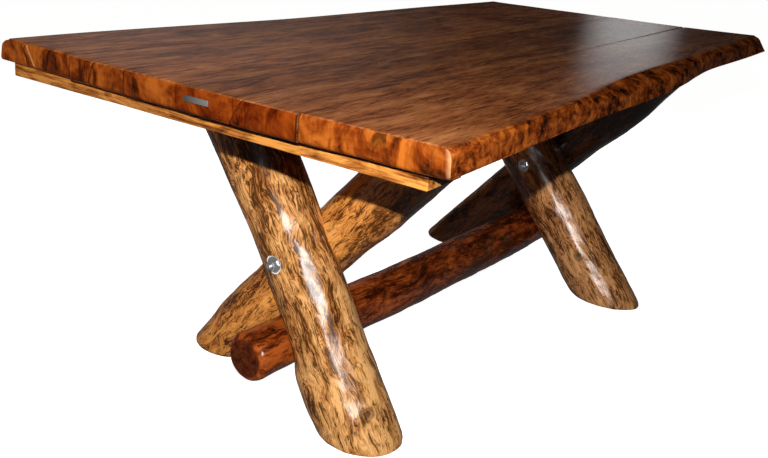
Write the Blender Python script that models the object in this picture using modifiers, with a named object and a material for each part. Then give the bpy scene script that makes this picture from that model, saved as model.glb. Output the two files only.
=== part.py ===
"""Rustic dining table: four thick boards on two pairs of crossed log legs, tied by one log stretcher.

Metres, +Z up, the floor at zero, +X along the table, the origin under the middle of the top.
"""

import math
from collections import namedtuple

import bmesh
import bpy
from mathutils import Matrix, Vector

# Overall sizes.
TOP_LENGTH = 1.94
TOP_WIDTH = 1.016
TABLE_HEIGHT = 0.76
BOARD_THICKNESS = 0.045
FIT_GAP = 0.0003

# Board joints, as distance from the centre line at the near end and at the far end.
SEAM_LEFT_NEAR = 0.274
SEAM_LEFT_FAR = 0.245
SEAM_MIDDLE_NEAR = -0.006
SEAM_MIDDLE_FAR = -0.002
SEAM_RIGHT_NEAR = -0.256
SEAM_RIGHT_FAR = -0.240

# The right joint has opened towards the far end, from this share of the length on.
SEAM_RIGHT_OPENING = 0.006
SEAM_OPENS_FROM = 0.52

# How far each corner of the board ends stays inside the overall length, from left edge to right edge.
NEAR_SETBACKS = (0.025, 0.010, 0.0, 0.0, 0.018)
FAR_SETBACKS = (0.055, 0.058, 0.053, 0.048)
FAR_RIGHT_BOARD_SETBACKS = (0.070, 0.0)
END_EASE = 0.005

# Live edges: distance inside the overall width along the board, for the top line and the bottom line.
LEFT_TOP_INSETS = (0.032, 0.031, 0.046, 0.062, 0.075, 0.077, 0.076, 0.073, 0.075, 0.078, 0.082)
LEFT_FOOT_INSETS = (0.0, 0.003, 0.018, 0.034, 0.047, 0.046, 0.044, 0.043, 0.046, 0.048, 0.052)
RIGHT_TOP_INSETS = (0.008, 0.010, 0.016, 0.033, 0.056, 0.060, 0.054, 0.050, 0.050, 0.058, 0.068)
RIGHT_FOOT_INSETS = (0.0, 0.004, 0.010, 0.011, 0.007, 0.005, 0.024, 0.040, 0.033, 0.027, 0.026)
EDGE_BELLY_DEPTH_SHARE = 0.30
EDGE_BELLY_OUT_SHARES = (0.76, 0.76, 0.76, 0.76, 0.76, 0.76, 0.76, 0.74, 0.68, 0.56, 0.42)

# Loose tongues in the board joints.
TONGUE_WIDTH = 0.030
TONGUE_THICKNESS = 0.012
TONGUE_END_MARGIN = 0.060

# Cross battens at the ends and bearers over the legs.
BATTEN_THICKNESS = 0.028
BATTEN_WIDTH = 0.095
BATTEN_SETBACK = 0.036
BATTEN_LEFT_REACH = 0.480
BATTEN_RIGHT_REACH = 0.462
BATTEN_FAR_SHORTER = 0.050
FAR_BATTEN_SETBACK = 0.110
BEARER_THICKNESS = 0.043
BEARER_WIDTH = 0.230
BEARER_LENGTH = 0.780

# Log legs: distance from an end of the top, distance across it at the floor and at the head, and radius.
LEG_A_FROM_NEAR_END = 0.374
LEG_A_FOOT_Y = -0.172
LEG_A_HEAD_Y = 0.219
LEG_A_RADIUS = 0.0780
LEG_B_FROM_NEAR_END = 0.465
LEG_B_FOOT_Y = 0.315
LEG_B_HEAD_Y = -0.261
LEG_B_RADIUS = 0.0700
LEG_C_FROM_FAR_END = 0.495
LEG_C_FOOT_Y = -0.289
LEG_C_HEAD_Y = 0.246
LEG_C_RADIUS = 0.0825
LEG_D_FROM_FAR_END = 0.400
LEG_D_FOOT_Y = 0.289
LEG_D_HEAD_Y = -0.290
LEG_D_RADIUS = 0.0745

# Natural swell of each log from foot to head: share of the length, change of radius, sideways shift.
LEG_A_SWELL = ((-0.1, 0.004, 0.004), (0.02, 0.006, 0.006), (0.11, 0.008, 0.009), (0.21, 0.002, 0.002),
               (0.30, -0.002, -0.002), (0.54, -0.003, -0.004), (0.72, 0.001, 0.001), (0.90, 0.006, 0.007),
               (1.1, 0.008, 0.008))
LEG_B_SWELL = ((-0.1, -0.002, -0.003), (0.06, 0.0, 0.0), (0.22, 0.004, 0.004), (0.34, 0.002, 0.004),
               (0.50, -0.003, 0.003), (0.66, 0.001, -0.001), (0.80, 0.001, -0.002), (1.1, 0.002, -0.001))
LEG_C_SWELL = ((-0.1, 0.0, -0.001), (0.08, 0.0, -0.001), (0.25, 0.001, 0.0), (0.45, 0.002, -0.001),
               (0.70, 0.001, 0.001), (1.1, 0.0, 0.002))
LEG_D_SWELL = ((-0.1, 0.001, 0.0), (0.20, -0.001, 0.0), (0.45, -0.001, 0.001), (0.60, 0.0, 0.0),
               (0.75, 0.005, -0.005), (0.90, 0.002, -0.001), (1.1, 0.0, 0.002))
LOG_SIDES = 20
LOG_RINGS = 20
LOG_LOBES = 3
LOG_LOBE_SHARE = 0.022
LOG_LOBE_TWIST = 4.0

# Log stretcher.
STRETCHER_RADIUS = 0.054
STRETCHER_NEAR_OVERHANG = 0.124
STRETCHER_FAR_OVERHANG = 0.140
STRETCHER_SEAT_NEAR = 0.014
STRETCHER_SEAT_FAR = 0.003
STRETCHER_RIM = 0.008
STRETCHER_SWELL = ((0.0, 0.0, 0.0), (0.15, 0.001, 0.001), (0.35, 0.004, -0.004), (0.55, 0.004, -0.005),
                   (0.75, 0.005, -0.006), (0.88, 0.002, -0.003), (1.0, 0.0, -0.002))

# Crossing bolts, nuts and washers.
BOLT_RADIUS = 0.006
BOLT_FLAT_RADIUS = 0.0095
BOLT_HEAD_HEIGHT = 0.008
NUT_HEIGHT = 0.010
BOLT_TAIL = 0.006
BOLT_CHAMFER = 0.0015
BOLT_RISE = 0.010
BOLT_SIDE = 0.006
WASHER_RADIUS = 0.017
WASHER_THICKNESS = 0.0025
SPOT_FACE_DEPTH = 0.007
SPOT_FACE_MARGIN = 0.003

# Lag screws.
LAG_RADIUS = 0.005
LAG_FLAT_RADIUS = 0.0085
LAG_HEAD_HEIGHT = 0.006
LAG_BITE = 0.060
LAG_SINK = 0.003
LAG_WELL_RADIUS = 0.013
STRETCHER_LAG_LENGTH = 0.126
STRETCHER_WELL_DEPTH = 0.015

# Wood screws.
SCREW_RADIUS = 0.0025
SCREW_HEAD_RADIUS = 0.005
SCREW_HEAD_HEIGHT = 0.004
SCREW_BITE = 0.022
SCREW_SINK = 0.0005
SCREW_END_INSET = 0.040
SCREW_OFF_CENTRE_X = 0.080
SCREW_INNER_LEFT_Y = 0.100
SCREW_INNER_RIGHT_Y = -0.130

# A screw's tip narrows over this share of its length to this share of its radius.
TIP_SHARE = 0.15
TIP_POINT_SHARE = 0.5

# Bare metal plate on the near end.
PLATE_LENGTH = 0.054
PLATE_HEIGHT = 0.0095
PLATE_THICKNESS = 0.0015
PLATE_CENTRE_Y = -0.054
PLATE_DROP = 0.019

# Facets, shading and colours.
TURNED_SIDES = 12
HEX_SIDES = 6
MERGE_DISTANCE = 0.00001
SMOOTH_ANGLE = math.radians(35)
STAINED_TOP = (0.13, 0.05, 0.022, 1.0)
PALE_WOOD = (0.42, 0.22, 0.075, 1.0)
LOG_WOOD = (0.36, 0.18, 0.06, 1.0)
RED_LOG = (0.17, 0.065, 0.028, 1.0)
STEEL = (0.55, 0.55, 0.53, 1.0)
WOOD_ROUGHNESS = 0.35
STEEL_ROUGHNESS = 0.30

# How far cutters run past what they cut, and how far a half of a crossing reaches.
PAST = 0.05
HALF_REACH = 0.3

# Heights and ends that follow from the sizes above.
UNDERSIDE = TABLE_HEIGHT - BOARD_THICKNESS
BEARER_FOOT = UNDERSIDE - FIT_GAP - BEARER_THICKNESS
BATTEN_FOOT = UNDERSIDE - FIT_GAP - BATTEN_THICKNESS
HEAD_HEIGHT = BEARER_FOOT - FIT_GAP
HALF_LENGTH = TOP_LENGTH / 2
HALF_WIDTH = TOP_WIDTH / 2
NEAR_FACE = -HALF_LENGTH + PLATE_THICKNESS + FIT_GAP

UP = Vector((0, 0, 1))
ALONG = Vector((1, 0, 0))
ACROSS = Vector((0, 1, 0))

for old in list(bpy.data.objects):
    bpy.data.objects.remove(old, do_unlink=True)
parts = bpy.data.collections.new("dining_table")
cutters = bpy.data.collections.new("cutters")
bpy.context.scene.collection.children.link(parts)
bpy.context.scene.collection.children.link(cutters)
cutters.hide_render = True


def add_object(name, shape, collection):
    """Turns a bmesh into a named object; a cutter is hidden and drawn as wire."""
    mesh = bpy.data.meshes.new(name)
    shape.to_mesh(mesh)
    shape.free()
    obj = bpy.data.objects.new(name, mesh)
    collection.objects.link(obj)
    if collection == cutters:
        obj.hide_render = True
        obj.display_type = "WIRE"
    return obj


def finish(obj, colour, roughness=WOOD_ROUGHNESS, metallic=0.0):
    """Gives the part its own surface material."""
    material = bpy.data.materials.new(obj.name)
    material.use_nodes = True
    shader = material.node_tree.nodes["Principled BSDF"]
    shader.inputs["Base Color"].default_value = colour
    shader.inputs["Roughness"].default_value = roughness
    shader.inputs["Metallic"].default_value = metallic
    obj.data.materials.append(material)


def finish_steel(obj):
    """Gives a fastener its zinc plate."""
    finish(obj, STEEL, STEEL_ROUGHNESS, 1.0)


def boolean(obj, other, operation):
    """One exact Boolean between a part and a helper."""
    step = obj.modifiers.new(other.name, "BOOLEAN")
    step.operation = operation
    step.solver = "EXACT"
    step.object = other


def aim(obj, start, direction):
    """Places an object with its Z axis running from start along a direction."""
    obj.location = start
    obj.rotation_euler = Vector(direction).to_track_quat("Z", "Y").to_euler()


def box(name, low, high, collection):
    """A block between two opposite corners."""
    low = Vector(low)
    high = Vector(high)
    shape = bmesh.new()
    bmesh.ops.create_cube(shape, size=1.0)
    bmesh.ops.scale(shape, vec=high - low, verts=shape.verts)
    obj = add_object(name, shape, collection)
    obj.location = (low + high) / 2
    return obj


def bar(name, start, end, width, thickness, collection):
    """A block that runs level from start to end."""
    run = end - start
    shape = bmesh.new()
    bmesh.ops.create_cube(shape, size=1.0)
    bmesh.ops.scale(shape, vec=(run.length, width, thickness), verts=shape.verts)
    obj = add_object(name, shape, collection)
    obj.location = (start + end) / 2
    obj.rotation_euler.z = math.atan2(run.y, run.x)
    return obj


def hexagon(name, flat_radius, low, high, collection):
    """A six-sided block about the Z axis; flat_radius is from its axis to its flats."""
    corner = flat_radius / math.cos(math.pi / HEX_SIDES)
    shape = bmesh.new()
    bmesh.ops.create_cone(shape, cap_ends=True, segments=HEX_SIDES, radius1=corner, radius2=corner,
                          depth=high - low)
    bmesh.ops.translate(shape, vec=UP * (low + high) / 2, verts=shape.verts)
    return add_object(name, shape, collection)


def turned(name, profile, collection, closed=False):
    """A turned piece about the Z axis; the profile of (radius, height) points runs down its outer side."""
    shape = bmesh.new()
    points = [shape.verts.new((radius, 0.0, height)) for radius, height in profile]
    for one, two in zip(points, points[1:]):
        shape.edges.new((one, two))
    if closed:
        shape.edges.new((points[-1], points[0]))
    obj = add_object(name, shape, collection)
    spin = obj.modifiers.new("turn", "SCREW")
    spin.axis = "Z"
    spin.steps = TURNED_SIDES
    spin.render_steps = TURNED_SIDES
    spin.use_merge_vertices = True
    spin.merge_threshold = MERGE_DISTANCE
    return obj


def rod(radius, low, high):
    """The profile of a plain cylinder."""
    return [(0.0, high), (radius, high), (radius, low), (0.0, low)]


def loft(name, sections, collection):
    """Skins a row of equal sections and caps both ends."""
    shape = bmesh.new()
    loops = [[shape.verts.new(point) for point in section] for section in sections]
    for one, two in zip(loops, loops[1:]):
        for index, corner in enumerate(one):
            shape.faces.new((one[index - 1], corner, two[index], two[index - 1]))
    shape.faces.new(loops[0])
    shape.faces.new(loops[-1])
    bmesh.ops.recalc_face_normals(shape, faces=shape.faces)
    return add_object(name, shape, collection)


def between(one, two, share):
    """The value at a share of the way from one to two."""
    return one * (1 - share) + two * share


def read_row(row, share):
    """Reads an evenly spaced row of values at a share of its length."""
    place = min(max(share, 0.0), 1.0) * (len(row) - 1)
    index = min(int(place), len(row) - 2)
    return between(row[index], row[index + 1], place - index)


# The four boards of the top. A joint is a pair: its place across the table at the near and the far end.
JOINTS = (
    (SEAM_LEFT_NEAR, SEAM_LEFT_FAR),
    (SEAM_MIDDLE_NEAR, SEAM_MIDDLE_FAR),
    (SEAM_RIGHT_NEAR, SEAM_RIGHT_FAR),
)
STATIONS = len(LEFT_TOP_INSETS)


def live_edge(tops, feet, sign):
    """A waney edge: the belly swells out between its top and bottom lines."""
    def line(share):
        top = HALF_WIDTH - read_row(tops, share)
        foot = HALF_WIDTH - read_row(feet, share)
        belly = between(top, foot, read_row(EDGE_BELLY_OUT_SHARES, share))
        return sign * top, sign * belly, sign * foot
    return line


def joint_edge(joint, toward, opening=0.0):
    """A planed edge beside a joint, drawn back where the joint has opened."""
    def line(share):
        opened = max(share - SEAM_OPENS_FROM, 0.0) / (1 - SEAM_OPENS_FROM)
        place = between(*joint, share) + toward * (FIT_GAP + opening * opened) / 2
        return place, place, place
    return line


def board(name, left, right, near, far):
    """One board with eased ends; left and right give an edge's top, belly and foot across the table."""
    rows = [(0.0, 0.0, END_EASE), (0.0, END_EASE, 0.0)]
    rows += [(index / (STATIONS - 1), 0.0, 0.0) for index in range(1, STATIONS - 1)]
    rows += [(1.0, -END_EASE, 0.0), (1.0, 0.0, END_EASE)]
    belly = TABLE_HEIGHT - BOARD_THICKNESS * EDGE_BELLY_DEPTH_SHARE
    sections = []
    for share, inward, ease in rows:
        x_left = between(near[0], far[0], share) + inward
        x_right = between(near[1], far[1], share) + inward
        left_top, left_belly, left_foot = left(share)
        right_top, right_belly, right_foot = right(share)
        sections.append([
            (x_left, left_foot, UNDERSIDE + ease),
            (x_right, right_foot, UNDERSIDE + ease),
            (x_right, right_belly, belly),
            (x_right, right_top, TABLE_HEIGHT - ease),
            (x_left, left_top, TABLE_HEIGHT - ease),
            (x_left, left_belly, belly),
        ])
    piece = loft(name, sections, parts)
    finish(piece, STAINED_TOP)
    return piece


near_ends = [NEAR_FACE + setback for setback in NEAR_SETBACKS]
far_ends = [HALF_LENGTH - setback for setback in FAR_SETBACKS]
far_right_ends = [HALF_LENGTH - setback for setback in FAR_RIGHT_BOARD_SETBACKS]
boards = [
    board("board_left_edge", live_edge(LEFT_TOP_INSETS, LEFT_FOOT_INSETS, 1), joint_edge(JOINTS[0], 1),
          near_ends[0:2], far_ends[0:2]),
    board("board_left_centre", joint_edge(JOINTS[0], -1), joint_edge(JOINTS[1], 1),
          near_ends[1:3], far_ends[1:3]),
    board("board_right_centre", joint_edge(JOINTS[1], -1), joint_edge(JOINTS[2], 1, SEAM_RIGHT_OPENING),
          near_ends[2:4], far_ends[2:4]),
    board("board_right_edge", joint_edge(JOINTS[2], -1, SEAM_RIGHT_OPENING),
          live_edge(RIGHT_TOP_INSETS, RIGHT_FOOT_INSETS, -1), near_ends[3:5], far_right_ends),
]


def joint_places(x):
    """The three joints' places across the table at a place along it."""
    share = (x + HALF_LENGTH) / TOP_LENGTH
    return [between(*joint, share) for joint in JOINTS]


def board_at(x, y):
    """The board over a point of the underside."""
    return boards[sum(1 for place in joint_places(x) if y < place)]


# Loose tongues run in stopped grooves at mid thickness.
TONGUE_NEAR = -HALF_LENGTH + TONGUE_END_MARGIN
TONGUE_FAR = min(far_ends[-1], far_right_ends[0]) - TONGUE_END_MARGIN
for index, name in enumerate(("left", "middle", "right")):
    middle = UNDERSIDE + BOARD_THICKNESS / 2
    start = Vector((TONGUE_NEAR, joint_places(TONGUE_NEAR)[index], middle))
    end = Vector((TONGUE_FAR, joint_places(TONGUE_FAR)[index], middle))
    tongue = bar("tongue_" + name, start, end, TONGUE_WIDTH, TONGUE_THICKNESS, parts)
    finish(tongue, PALE_WOOD)
    spare = (end - start).normalized() * FIT_GAP
    groove = bar("groove_" + name, start - spare, end + spare, TONGUE_WIDTH + 2 * FIT_GAP,
                 TONGUE_THICKNESS + 2 * FIT_GAP, cutters)
    boolean(boards[index], groove, "DIFFERENCE")
    boolean(boards[index + 1], groove, "DIFFERENCE")


def drill(name, profile, start, direction, pieces):
    """Sinks one turned hole in every piece that a fastener passes."""
    hole = turned("hole_" + name, profile, cutters)
    aim(hole, start, direction)
    for piece in pieces:
        boolean(piece, hole, "DIFFERENCE")


def shank(radius, low, length):
    """The profile of a screw's shank from its tip down to the head."""
    neck = length * (1 - TIP_SHARE)
    return [(0.0, length), (radius * TIP_POINT_SHARE, length), (radius, neck), (radius, low)]


def wood_screw(name, start, length, pieces):
    """A countersunk screw driven upwards, with its clearance hole; start is at the flat of its head."""
    profile = shank(SCREW_RADIUS, SCREW_HEAD_HEIGHT, length) + [(SCREW_HEAD_RADIUS, 0.0), (0.0, 0.0)]
    screw = turned(name, profile, parts)
    aim(screw, start, UP)
    finish_steel(screw)
    bore = SCREW_RADIUS + FIT_GAP
    mouth = SCREW_HEAD_RADIUS + FIT_GAP
    end = length + FIT_GAP
    hole = [(0.0, end), (bore, end), (bore, SCREW_HEAD_HEIGHT), (mouth, 0.0), (mouth, -PAST), (0.0, -PAST)]
    drill(name, hole, start, UP, pieces)


def lag_screw(name, start, direction, length, pieces):
    """A hexagon-headed lag screw in a wide well; start is at the outer face of its head."""
    lag = turned(name, shank(LAG_RADIUS, LAG_HEAD_HEIGHT / 2, length) + [(0.0, LAG_HEAD_HEIGHT / 2)], parts)
    head = hexagon("head_of_" + name, LAG_FLAT_RADIUS, 0.0, LAG_HEAD_HEIGHT, cutters)
    aim(lag, start, direction)
    aim(head, start, direction)
    boolean(lag, head, "UNION")
    finish_steel(lag)
    bore = LAG_RADIUS + FIT_GAP
    well = LAG_WELL_RADIUS
    seat = LAG_HEAD_HEIGHT + FIT_GAP
    end = length + FIT_GAP
    hole = [(0.0, end), (bore, end), (bore, seat), (well, seat), (well, -PAST), (0.0, -PAST)]
    drill(name, hole, start, direction, pieces)


# End battens, with a screw up into each board.
for name, low_x, shorter in (
    ("near", -HALF_LENGTH + BATTEN_SETBACK, 0.0),
    ("far", HALF_LENGTH - FAR_BATTEN_SETBACK - BATTEN_WIDTH, BATTEN_FAR_SHORTER),
):
    right_end = -BATTEN_RIGHT_REACH + shorter
    left_end = BATTEN_LEFT_REACH - shorter
    batten = box("batten_" + name, (low_x, right_end, BATTEN_FOOT),
                 (low_x + BATTEN_WIDTH, left_end, BATTEN_FOOT + BATTEN_THICKNESS), parts)
    finish(batten, PALE_WOOD)
    middle = low_x + BATTEN_WIDTH / 2
    places = [left_end] + joint_places(middle) + [right_end]
    for index, (one, two) in enumerate(zip(places, places[1:])):
        y = (one + two) / 2
        wood_screw(f"batten_screw_{name}_{index + 1}", (middle, y, BATTEN_FOOT + SCREW_SINK),
                   BATTEN_THICKNESS - SCREW_SINK + SCREW_BITE, (batten, board_at(middle, y)))


def swell_at(swell, share):
    """Smoothly reads the change of radius and the sideways shift of a log."""
    for one, two in zip(swell, swell[1:]):
        if share <= two[0]:
            part = min(max((share - one[0]) / (two[0] - one[0]), 0.0), 1.0)
            eased = part * part * (3 - 2 * part)
            return tuple(between(low, high, eased) for low, high in zip(one[1:], two[1:]))
    return swell[-1][1:]


def log(name, foot, head, radius, swell, side, collection, extra=0.0, reach=0.0, rim=0.0):
    """A peeled log: round sections from foot to head, with its own swell, wander and faint lobes.

    The wander goes towards side; extra thickens the log, reach lengthens it at both ends, and rim rounds the
    ends over.
    """
    length = (head - foot).length
    full = length + 2 * reach
    rows = [(full * ring / LOG_RINGS, 0.0) for ring in range(LOG_RINGS + 1)]
    if rim:
        rows = [(0.0, rim), (rim, 0.0)] + rows[1:-1] + [(full - rim, 0.0), (full, rim)]
    sections = []
    for along, drawn_in in rows:
        share = (along - reach) / length
        grow, shift = swell_at(swell, share)
        fade = math.sin(math.pi * along / full)
        section = []
        for index in range(LOG_SIDES):
            turn = 2 * math.pi * index / LOG_SIDES
            lobe = LOG_LOBE_SHARE * fade * math.cos(LOG_LOBES * turn + LOG_LOBE_TWIST * share)
            size = (radius + grow) * (1 + lobe) + extra - drawn_in
            section.append((shift + size * math.cos(turn), size * math.sin(turn), along - reach))
        sections.append(section)
    obj = loft(name, sections, collection)
    obj.data.shade_smooth()
    obj.data.set_sharp_from_angle(angle=SMOOTH_ANGLE)
    axis = (head - foot).normalized()
    across = (side - axis * axis.dot(side)).normalized()
    obj.location = foot
    obj.rotation_euler = Matrix((across, axis.cross(across), axis)).transposed().to_euler()
    return obj


Leg = namedtuple("Leg", "x foot_y head_y radius swell")
LEGS = {
    "a": Leg(-HALF_LENGTH + LEG_A_FROM_NEAR_END, LEG_A_FOOT_Y, LEG_A_HEAD_Y, LEG_A_RADIUS, LEG_A_SWELL),
    "b": Leg(-HALF_LENGTH + LEG_B_FROM_NEAR_END, LEG_B_FOOT_Y, LEG_B_HEAD_Y, LEG_B_RADIUS, LEG_B_SWELL),
    "c": Leg(HALF_LENGTH - LEG_C_FROM_FAR_END, LEG_C_FOOT_Y, LEG_C_HEAD_Y, LEG_C_RADIUS, LEG_C_SWELL),
    "d": Leg(HALF_LENGTH - LEG_D_FROM_FAR_END, LEG_D_FOOT_Y, LEG_D_HEAD_Y, LEG_D_RADIUS, LEG_D_SWELL),
}


def leg_axis(leg):
    """The foot of a leg's middle line, and its direction."""
    foot = Vector((leg.x, leg.foot_y, 0.0))
    head = Vector((leg.x, leg.head_y, HEAD_HEIGHT))
    return foot, (head - foot).normalized()


def leg_log(name, leg, collection, extra=0.0):
    """The log of a leg, long enough to be sawn level at the floor and at the head."""
    foot = Vector((leg.x, leg.foot_y, 0.0))
    head = Vector((leg.x, leg.head_y, HEAD_HEIGHT))
    return log(name, foot, head, leg.radius, leg.swell, ACROSS, collection, extra, leg.radius + PAST)


legs = {}
for key, leg in LEGS.items():
    legs[key] = leg_log(("leg_near_" if key in "ab" else "leg_far_") + key, leg, parts)
    finish(legs[key], LOG_WOOD)
    reach = 2 * leg.radius + PAST
    level = box("level_" + key, (leg.x - reach, -HALF_WIDTH, 0.0),
                (leg.x + reach, HALF_WIDTH, HEAD_HEIGHT), cutters)
    boolean(legs[key], level, "INTERSECT")


def crossing(one, two):
    """Where two legs cross, seen along the table: distance across and height."""
    slope_1 = (one.head_y - one.foot_y) / HEAD_HEIGHT
    slope_2 = (two.head_y - two.foot_y) / HEAD_HEIGHT
    height = (two.foot_y - one.foot_y) / (slope_1 - slope_2)
    return one.foot_y + slope_1 * height, height


def scribe_crossing(first, second):
    """Laps a pair of logs: each gives up the other's half of the space that they share."""
    one = LEGS[first]
    two = LEGS[second]
    lap = (two.x - two.radius + one.x + one.radius) / 2
    for key, partner, low_x, high_x in (
        (first, two, lap - FIT_GAP / 2, lap + HALF_REACH),
        (second, one, lap - HALF_REACH, lap + FIT_GAP / 2),
    ):
        scribe = leg_log("scribe_" + key, partner, cutters, FIT_GAP)
        half = box("half_" + key, (low_x, -HALF_WIDTH - HALF_REACH, -HALF_REACH),
                   (high_x, HALF_WIDTH + HALF_REACH, TABLE_HEIGHT + HALF_REACH), cutters)
        boolean(scribe, half, "INTERSECT")
        boolean(legs[key], scribe, "DIFFERENCE")


def bolt_crossing(first, second, place):
    """A bolt along the table through the crossing, with its nut and washers on spot faces."""
    one = LEGS[first]
    two = LEGS[second]
    near_seat = one.x - one.radius + SPOT_FACE_DEPTH
    span = two.x + two.radius - SPOT_FACE_DEPTH - near_seat
    cross_y, cross_z = crossing(one, two)
    start = Vector((near_seat, cross_y + BOLT_SIDE, cross_z + BOLT_RISE))
    bore = BOLT_RADIUS + FIT_GAP
    spot = WASHER_RADIUS + SPOT_FACE_MARGIN
    past = span + PAST
    nut_way = [(0.0, past), (bore, past), (bore, 0.0), (spot, 0.0), (spot, -PAST), (0.0, -PAST)]
    head_way = [(0.0, past), (spot, past), (spot, span), (bore, span), (bore, -PAST), (0.0, -PAST)]
    drill("bolt_" + first, nut_way, start, ALONG, [legs[first]])
    drill("bolt_" + second, head_way, start, ALONG, [legs[second]])

    washer_out = FIT_GAP + WASHER_THICKNESS
    head_at = span + washer_out + FIT_GAP
    nut_at = -washer_out - FIT_GAP
    tail = nut_at - NUT_HEIGHT - BOLT_TAIL
    inside_head = head_at + BOLT_HEAD_HEIGHT / 2
    bolt = turned("cross_bolt_" + place, [
        (0.0, inside_head), (BOLT_RADIUS, inside_head), (BOLT_RADIUS, tail + BOLT_CHAMFER),
        (BOLT_RADIUS - BOLT_CHAMFER, tail), (0.0, tail)], parts)
    head = hexagon("head_of_bolt_" + place, BOLT_FLAT_RADIUS, head_at, head_at + BOLT_HEAD_HEIGHT, cutters)
    boolean(bolt, head, "UNION")
    nut = hexagon("cross_nut_" + place, BOLT_FLAT_RADIUS, nut_at - NUT_HEIGHT, nut_at, parts)
    nut_bore = turned("bore_of_nut_" + place, rod(bore, nut_at - NUT_HEIGHT - PAST, nut_at + PAST), cutters)
    boolean(nut, nut_bore, "DIFFERENCE")
    pieces = [bolt, nut]
    for end, low in (("nut", -washer_out), ("head", span + FIT_GAP)):
        high = low + WASHER_THICKNESS
        pieces.append(turned(f"cross_washer_{place}_{end}", [
            (bore, high), (WASHER_RADIUS, high), (WASHER_RADIUS, low), (bore, low)], parts, closed=True))
    for piece in pieces:
        finish_steel(piece)
    for piece in pieces + [head, nut_bore]:
        aim(piece, start, ALONG)


def bearer_over(first, second, place):
    """The bearer board over a pair of sawn heads, with its screws and lags."""
    middle = (LEGS[first].x + LEGS[second].x) / 2
    bearer = box("bearer_" + place, (middle - BEARER_WIDTH / 2, -BEARER_LENGTH / 2, BEARER_FOOT),
                 (middle + BEARER_WIDTH / 2, BEARER_LENGTH / 2, BEARER_FOOT + BEARER_THICKNESS), parts)
    finish(bearer, PALE_WOOD)
    outer_y = BEARER_LENGTH / 2 - SCREW_END_INSET
    spots = ((SCREW_OFF_CENTRE_X, outer_y), (SCREW_OFF_CENTRE_X, SCREW_INNER_LEFT_Y),
             (-SCREW_OFF_CENTRE_X, SCREW_INNER_RIGHT_Y), (-SCREW_OFF_CENTRE_X, -outer_y))
    for index, (off, y) in enumerate(spots):
        x = middle + off
        wood_screw(f"bearer_screw_{place}_{index + 1}", (x, y, BEARER_FOOT + SCREW_SINK),
                   BEARER_THICKNESS - SCREW_SINK + SCREW_BITE, (bearer, board_at(x, y)))
    for key in (first, second):
        top = (LEGS[key].x, LEGS[key].head_y, BEARER_FOOT + BEARER_THICKNESS - LAG_SINK)
        lag_screw("head_lag_" + key, top, -UP, BEARER_THICKNESS - LAG_SINK + LAG_BITE, (bearer, legs[key]))


def seat_under(first, second, depth):
    """Where the stretcher's middle line lies under a crossing, the same depth into both logs."""
    one = LEGS[first]
    two = LEGS[second]
    line_1 = leg_axis(one)[1]
    line_2 = leg_axis(two)[1]
    cross_y, cross_z = crossing(one, two)
    away_1 = one.radius + STRETCHER_RADIUS - depth
    away_2 = two.radius + STRETCHER_RADIUS - depth
    turn = line_1.z * line_2.y - line_1.y * line_2.z
    down_z = (away_1 * line_2.z + away_2 * line_1.z) / turn
    down_y = (away_1 + line_1.y * down_z) / line_1.z
    return Vector(((one.x + two.x) / 2, cross_y + down_y, cross_z + down_z))


for first, second, place in (("a", "b", "near"), ("c", "d", "far")):
    scribe_crossing(first, second)
    bolt_crossing(first, second, place)
    bearer_over(first, second, place)

# The stretcher sits up in the forks of both pairs, in saddles cut in all four legs.
near_seat = seat_under("a", "b", STRETCHER_SEAT_NEAR)
far_seat = seat_under("c", "d", STRETCHER_SEAT_FAR)
run = (far_seat - near_seat).normalized()
near_tip = near_seat - run * (STRETCHER_NEAR_OVERHANG + (LEGS["b"].x - LEGS["a"].x) / 2)
far_tip = far_seat + run * (STRETCHER_FAR_OVERHANG + (LEGS["d"].x - LEGS["c"].x) / 2)
stretcher = log("stretcher_log", near_tip, far_tip, STRETCHER_RADIUS, STRETCHER_SWELL, UP, parts,
                rim=STRETCHER_RIM)
saddle = log("saddle", near_tip, far_tip, STRETCHER_RADIUS, STRETCHER_SWELL, UP, cutters, extra=FIT_GAP)
finish(stretcher, RED_LOG)
for key, leg in LEGS.items():
    boolean(legs[key], saddle, "DIFFERENCE")
    foot, line = leg_axis(leg)
    centre = between(near_tip, far_tip, (leg.x - near_tip.x) / (far_tip.x - near_tip.x))
    outward = foot + line * (centre - foot).dot(line) - centre
    outward.x = 0.0
    outward.normalize()
    lag_screw("stretcher_lag_" + key, centre - outward * (STRETCHER_RADIUS - STRETCHER_WELL_DEPTH), outward,
              STRETCHER_LAG_LENGTH, (stretcher, legs[key]))

# Bare plate on the near end grain.
plate_back = NEAR_FACE + NEAR_SETBACKS[2] - FIT_GAP
plate_z = TABLE_HEIGHT - PLATE_DROP
plate = box("end_plate",
            (plate_back - PLATE_THICKNESS, PLATE_CENTRE_Y - PLATE_LENGTH / 2, plate_z - PLATE_HEIGHT / 2),
            (plate_back, PLATE_CENTRE_Y + PLATE_LENGTH / 2, plate_z + PLATE_HEIGHT / 2), parts)
finish_steel(plate)

# One empty on the floor carries the whole table.
table = bpy.data.objects.new("table", None)
parts.objects.link(table)
for piece in parts.objects:
    if piece != table:
        piece.parent = table
print("parts", len(parts.objects) - 1)
print("stretcher from", tuple(round(v, 4) for v in near_tip), "to", tuple(round(v, 4) for v in far_tip))
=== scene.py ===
# %% [markdown]
# # A rustic dining table on crossed log legs
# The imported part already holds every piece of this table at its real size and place. This lesson dresses it:
# planed boards with a live edge, peeled and varnished logs, sawn battens and zinc bolts.
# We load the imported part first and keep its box, because the dressed table may not outgrow it.

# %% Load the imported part
import math

import bmesh
import bpy
import numpy as np
from mathutils import Matrix, Vector, noise
from mathutils.bvhtree import BVHTree


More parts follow.
